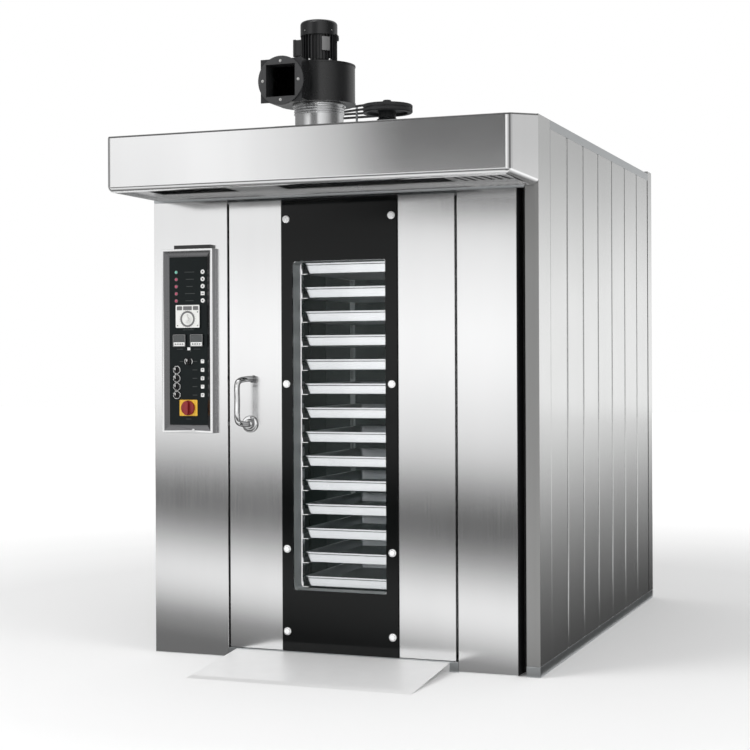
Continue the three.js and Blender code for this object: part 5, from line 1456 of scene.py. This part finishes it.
def makeGearmotor():
    look = driveLooks
    low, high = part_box("rack_gearmotor")
    small = middle("gearmotor_pulley")
    output, half, lidZ = (small.x, small.y), look["gearboxHalf"], high.z - look["lidDepth"]
    bm = bmesh.new()
    block = roundedRect(2 * half, 2 * half, 0.012, 5, output)
    addPlate(bm, [block, circle(0.0146, output, 32)], lidZ, high.z)
    addPrism(bm, block, low.z, lidZ)
    rib = [roundedRect(size, size, 0.010, 5, output) for size in (2 * half, 2 * half - 0.004)]
    for level in look["ribs"]:
        addPlate(bm, rib, low.z + level, low.z + level + 0.004)
    addPiece(bm, "gearbox", "castBlack", ["rack_gearmotor"], sharpAngle=30)
    bm = bmesh.new()
    start, radius = small.y + half - 0.0002, look["barrelRadius"]
    length, axisZ = high.y - start, low.z + radius
    core = radius - 0.008
    profile = [(0.001, 0), (radius - 0.001, 0), (radius, 0.001), (radius, 0.012), (core, 0.016),
               (core, length * 0.64), (radius - 0.001, length * 0.66), (radius - 0.001, length - 0.014),
               (radius - 0.004, length - 0.006), (radius - 0.012, length - 0.0005), (0.001, length)]
    addTurned(bm, profile, (small.x, start, axisZ), (0, 1, 0), 72)
    fin = [(radius - 0.010, -0.0018), (radius - 0.001, -0.001), (radius - 0.001, 0.001),
           (radius - 0.010, 0.0018)]
    addFins(bm, (small.x, axisZ), look["barrelFins"], fin, start + 0.014, start + length * 0.645, "y")
    addPiece(bm, "gearmotor_barrel", "motorBlack", sharpAngle=40)
    print("gearmotor")


makeDrive()
makeGearmotor()


# ---- rack, trays and castors

trayLooks = {
    "size": (0.530, 0.650),
    "height": 0.045,
    "taper": 0.013,
    "rim": 0.003,
    "rimHeight": 0.004,
    "corner": 0.019,
    "sheet": 0.0018,
}


def trayMesh():
    look = trayLooks
    width, length = look["size"]
    corner, height, sheet, rim = look["corner"], look["height"], look["sheet"], look["rim"]

    def ring(inset, z):
        shape = roundedRect(width - 2 * inset, length - 2 * inset, max(0.004, corner - inset * 0.5), 5)
        return [(x, y, z) for x, y in shape]

    def wall(z):
        return rim + look["taper"] * (1 - z / height)

    edge, rimZ = rim * 0.5, height - look["rimHeight"]
    rows = [ring(wall(0) + 0.006, 0), ring(wall(0) + 0.0018, 0.0006), ring(wall(0), 0.0030)]
    rows += [ring(wall(z), z) for z in (0.020, height - 0.0100, height - 0.0068, rimZ)]
    rows += [ring(edge + edge * math.cos(a), height - 0.002 - 0.002 * math.sin(a))
             for a in (math.radians(k) for k in (90, 135, 180, 225, 270))]
    rows += [ring(wall(rimZ) + sheet, height - look["rimHeight"] * 0.6)]
    rows += [ring(wall(z) + sheet, z) for z in (0.020, 0.0045)]
    rows += [ring(wall(0) + sheet + 0.003, sheet + 0.0012), ring(wall(0) + sheet + 0.008, sheet)]
    bm = bmesh.new()
    rings = addLoops(bm, rows)
    # painted shade: a dark grey band on the outer wall just under the rolled rim
    shaded = set(rings[4]) | set(rings[5])
    for face in bm.faces:
        if all(vert in shaded for vert in face.verts):
            face.material_index = 1
    mesh = finishMesh(bm, "tray", 50)
    for finish in ("traySteel", "shadeLineGrey"):
        mesh.materials.append(finishes[finish])
    return mesh


def makeTrays():
    mesh = trayMesh()
    trays = [name for name in nodes if name.startswith("tray_")]
    for name in sorted(trays, key=lambda name: int(name.split("_")[1])):
        centre = middle(name)
        place(f"{name}_pan", mesh, None, "rack", [name], (centre.x, centre.y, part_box(name)[0].z))
    print("trays:", len(trays))


def makeRack():
    roundedNode("rack_tubes", "rack_frame", "polishedSteel", 0.0008, 0.02, "rack")
    hanger = roundedNode("rack_hanger", "rack_spindle", "galvanised", 0.001, 0.02, "rack")
    hanger.data.materials.append(finishes["castBlack"])
    for polygon in hanger.data.polygons:
        if polygon.center.z > hoodLooks["roofZ"]:
            polygon.material_index = 1
    for side in ("left", "right"):
        roundedNode(f"{side}_fork_plate", f"front_{side}_castor_fork", "galvanised",
                    0.0006, 0.01, f"front_{side}_castor")
    print("rack")


# one side of a wheel from rim to hub: shares of its radius and of its half width
wheelSteps = [(1, 0.3), (0.97, 0.7), (0.90, 0.92), (0.74, 0.92), (0.70, 0.7), (0.48, 0.7), (0.45, 1)]


def makeWheels():
    for corner in ("front_left", "front_right", "rear_left", "rear_right"):
        node = f"{corner}_castor_wheel"
        low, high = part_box(node)
        radius, half = (high.z - low.z) / 2, (high.x - low.x) / 2
        tyre = [(radius * far, half * out) for far, out in wheelSteps] + [(0.0056, half)]
        bm = bmesh.new()
        addTurned(bm, [(far, -out) for far, out in reversed(tyre)] + tyre, middle(node), (1, 0, 0), 56, True)
        addPiece(bm, f"{node}_tyre", "blackPlastic", [node], f"{corner}_wheel", 40)
    print("wheels")


makeTrays()
makeRack()
makeWheels()


# ---- studio

studio = {
    "floorReach": 30.0,
    "floorColour": (0.88, 0.88, 0.88),
    "floorLift": 0.42,  # added for the camera far from the oven, so the floor meets the backdrop
    "worldForDiffuse": 0.80,
    # what polished steel mirrors: height of the mirrored direction, brightness
    "frontWorld": [(-1.0, 0.90), (-0.04, 0.92), (-0.012, 1.06), (0.007, 1.17), (0.026, 1.14), (0.055, 0.99),
                   (0.092, 0.82), (0.12, 0.96), (0.15, 1.04), (1.0, 1.0)],
    "backWorld": [(-1.0, 1.0), (0.0, 1.10), (0.04, 1.08), (0.07, 0.93), (0.10, 0.72), (0.13, 0.56),
                  (0.3, 0.7), (1.0, 0.9)],
    # the floor in front of the door, by distance along the heading below
    "frontHeading": (0.41, -0.912),
    "frontFloor": [(1.0, 0.16), (1.43, 0.30), (1.71, 0.58), (2.03, 0.82), (2.4, 0.95), (2.78, 0.90),
                   (3.25, 0.68), (3.79, 0.40), (4.43, 0.17), (5.19, 0.06), (6.12, 0.06), (7.27, 0.18),
                   (8.74, 0.42), (10.7, 0.68), (13.3, 0.83), (17.2, 0.92), (28.0, 1.08)],
    # the floor at the right, by distance from the wall
    "sideFloor": [(0.0, 0.07), (0.2, 0.09), (0.45, 0.13), (1.0, 0.23), (1.5, 0.33), (2.2, 0.47),
                  (3.2, 0.66), (5.0, 0.86), (9.5, 1.06)],
    "cardHeight": 0.004,  # of the two floor cards
    "frontCard": (-20, 14, -26),  # left, right and far end of the front one
    "cardEnd": 28.0,
    # a hanging card mirrored by the hood
    "hoodCard": [(-3.6, 1.08), (-3.1, 0.98), (-2.77, 0.84), (-2.46, 0.68), (-2.25, 0.55), (-2.05, 0.36),
                 (-1.9, 0.17), (-1.75, 0.11), (1.6, 0.11)],
    "hoodCardHeights": (2.42, 4.6),
    "hoodCardAhead": 6.0,
    # round the horizon, by the mirrored direction's angle from +X
    "around": [(-180, 0.35), (-150, 0.28), (-125, 1.0), (-62, 1.0), (-32, 0.62), (-5, 0.16), (25, 0.22),
               (52, 1.1), (66, 1.0), (100, 1.0), (140, 0.5), (180, 0.35)],
}
lamps = {
    "keyLamp": dict(at=(-4.5, -5.5, 6.0), target=(0, 0, 1.0), size=(4.0, 4.0), power=230, mirrored=False),
    "sideLamp": dict(at=(6.5, -3.0, 5.0), target=(0.8, 0, 1.0), size=(4.0, 4.0), power=120, mirrored=False),
    "topLamp": dict(at=(-0.6, -2.6, 4.4), target=(-0.1, -1.3, 2.4), size=(1.2, 0.7), power=9),
    "chamberLamp": dict(at=(0.0, -0.97, 1.0), target=(0.0, -0.5, 1.0), size=(0.9, 1.8), power=6.5),
}


def rampNode(tree, value, stops):
    # brightness read from a row of (position, value) pairs
    first, last = stops[0][0], stops[-1][0]
    share = mathNode(tree, "DIVIDE", mathNode(tree, "SUBTRACT", value, first), last - first, clamp=True)
    node = tree.nodes.new("ShaderNodeValToRGB")
    ramp = node.color_ramp
    while len(ramp.elements) < len(stops):
        ramp.elements.new(0.5)
    for element, (position, level) in zip(ramp.elements, stops):
        element.position = (position - first) / (last - first)
        element.color = (level / 1.2, level / 1.2, level / 1.2, 1)
    tree.links.new(share, node.inputs["Fac"])
    return mathNode(tree, "MULTIPLY", node.outputs["Color"], 1.2)


def flatCorners(x0, x1, y0, y1, z):
    return [(x0, y0, z), (x1, y0, z), (x1, y1, z), (x0, y1, z)]


def stageSheet(name, corners, material):
    mesh = bpy.data.meshes.new(name)
    mesh.from_pydata(corners, [], [list(range(len(corners)))])
    sheet = bpy.data.objects.new(name, mesh)
    bpy.context.scene.collection.objects.link(sheet)
    mesh.materials.append(material)
    return sheet


def mirrorCard(name, corners, heading, stops):
    # seen in mirroring surfaces only
    material = bpy.data.materials.new(name)
    material.use_nodes = True
    tree = material.node_tree
    tree.nodes.clear()
    out = tree.nodes.new("ShaderNodeOutputMaterial")
    glow = tree.nodes.new("ShaderNodeEmission")
    tree.links.new(glow.outputs[0], out.inputs["Surface"])
    along = tree.nodes.new("ShaderNodeVectorMath")
    along.operation = "DOT_PRODUCT"
    along.inputs[1].default_value = (*heading, 0)
    tree.links.new(tree.nodes.new("ShaderNodeTexCoord").outputs["Object"], along.inputs[0])
    tree.links.new(rampNode(tree, along.outputs["Value"], stops), glow.inputs["Strength"])
    card = stageSheet(name, corners, material)
    card.visible_camera = card.visible_diffuse = card.visible_transmission = False
    card.visible_shadow = card.visible_volume_scatter = False


def makeFloor():
    reach = studio["floorReach"]
    material, tree, shader = startMaterial("floor", {
        "Roughness": 0.8, "Base Color": (*studio["floorColour"], 1), "Specular IOR Level": 0.0,
        "Emission Color": (1, 1, 1, 1)})
    away = tree.nodes.new("ShaderNodeVectorMath")
    away.operation = "LENGTH"
    tree.links.new(tree.nodes.new("ShaderNodeTexCoord").outputs["Object"], away.inputs[0])
    far = mathNode(tree, "MULTIPLY_ADD", away.outputs["Value"], 0.22, -0.55, clamp=True)
    seen = tree.nodes.new("ShaderNodeLightPath").outputs["Is Camera Ray"]
    lift = mathNode(tree, "MULTIPLY", mathNode(tree, "MULTIPLY", far, seen), studio["floorLift"])
    tree.links.new(lift, shader.inputs["Emission Strength"])
    stageSheet("floor", flatCorners(-reach, reach, -reach, reach, 0), material)


def makeWorld():
    world = bpy.data.worlds.new("studio")
    bpy.context.scene.world = world
    world.use_nodes = True
    tree = world.node_tree
    background = tree.nodes["Background"]
    background.inputs["Color"].default_value = (1, 1, 1, 1)
    parts = tree.nodes.new("ShaderNodeSeparateXYZ")
    tree.links.new(tree.nodes.new("ShaderNodeTexCoord").outputs["Generated"], parts.inputs[0])
    behind = mathNode(tree, "MULTIPLY_ADD", parts.outputs["Y"], 2.0, 0.5, clamp=True)
    front = rampNode(tree, parts.outputs["Z"], studio["frontWorld"])
    back = rampNode(tree, parts.outputs["Z"], studio["backWorld"])
    mirrored = mathNode(tree, "ADD", mathNode(tree, "MULTIPLY", back, behind),
                        mathNode(tree, "MULTIPLY", front, mathNode(tree, "SUBTRACT", 1.0, behind)))
    angle = mathNode(tree, "ARCTAN2", parts.outputs["Y"], parts.outputs["X"])
    angle = mathNode(tree, "MULTIPLY", angle, 180 / math.pi)
    mirrored = mathNode(tree, "MULTIPLY", mirrored, rampNode(tree, angle, studio["around"]))
    path = tree.nodes.new("ShaderNodeLightPath")
    plain = mathNode(tree, "MAXIMUM", path.outputs["Is Camera Ray"], path.outputs["Is Transmission Ray"])
    glossy = path.outputs["Is Glossy Ray"]
    rest = mathNode(tree, "SUBTRACT", mathNode(tree, "SUBTRACT", 1.0, plain), glossy, clamp=True)
    strength = mathNode(tree, "ADD", plain, mathNode(tree, "MULTIPLY", glossy, mirrored))
    strength = mathNode(tree, "ADD", strength, mathNode(tree, "MULTIPLY", rest, studio["worldForDiffuse"]))
    tree.links.new(strength, background.inputs["Strength"])


def makeCards():
    height, reach = studio["cardHeight"], studio["cardEnd"]
    left, right, far = studio["frontCard"]
    mirrorCard("front_floor_card", flatCorners(left, right, far, frontY - 0.001, height),
               studio["frontHeading"], studio["frontFloor"])
    wall = cabinetHigh.x
    stops = [(wall + distance, level) for distance, level in studio["sideFloor"]]
    mirrorCard("side_floor_card", flatCorners(wall + 0.01, reach, frontY, reach, height), (1, 0), stops)
    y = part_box("hood")[0].y - studio["hoodCardAhead"]
    bottom, top = studio["hoodCardHeights"]
    left, right = studio["hoodCard"][0][0], studio["hoodCard"][-1][0]
    corners = [(left, y, bottom), (right, y, bottom), (right, y, top), (left, y, top)]
    mirrorCard("hood_card", corners, (1, 0), studio["hoodCard"])


def addLamp(name, at, target, size, power, mirrored=True):
    data = bpy.data.lights.new(name, "AREA")
    data.shape = "RECTANGLE"
    data.size, data.size_y = size
    data.energy = power
    lamp = bpy.data.objects.new(name, data)
    lamp.location = at
    lamp.rotation_euler = (Vector(target) - Vector(at)).to_track_quat("-Z", "Y").to_euler()
    lamp.visible_glossy = mirrored
    bpy.context.scene.collection.objects.link(lamp)


makeFloor()
makeWorld()
makeCards()
for lampName, values in lamps.items():
    addLamp(lampName, **values)


# ---- camera, at the photograph's angle

view = {
    "at": (2.4596, -7.1896, 1.2374),
    "azimuth": 20.79,
    "roll": -0.24,
    "focalShare": 1600.65 / 750,
    "shiftY": -13.75 / 750,
    "sensor": 36.0,
}


def makeCamera():
    data = bpy.data.cameras.new("camera")
    data.sensor_width = view["sensor"]
    data.lens = view["sensor"] * view["focalShare"]
    data.shift_y = view["shiftY"]
    data.clip_end = 100
    camera = bpy.data.objects.new("camera", data)
    camera.location = view["at"]
    azimuth, roll = (Matrix.Rotation(math.radians(view[name]), 4, "Z") for name in ("azimuth", "roll"))
    camera.rotation_euler = (azimuth @ Matrix.Rotation(math.pi / 2, 4, "X") @ roll).to_euler()
    bpy.context.scene.collection.objects.link(camera)
    bpy.context.scene.camera = camera


makeCamera()
print("studio and camera")
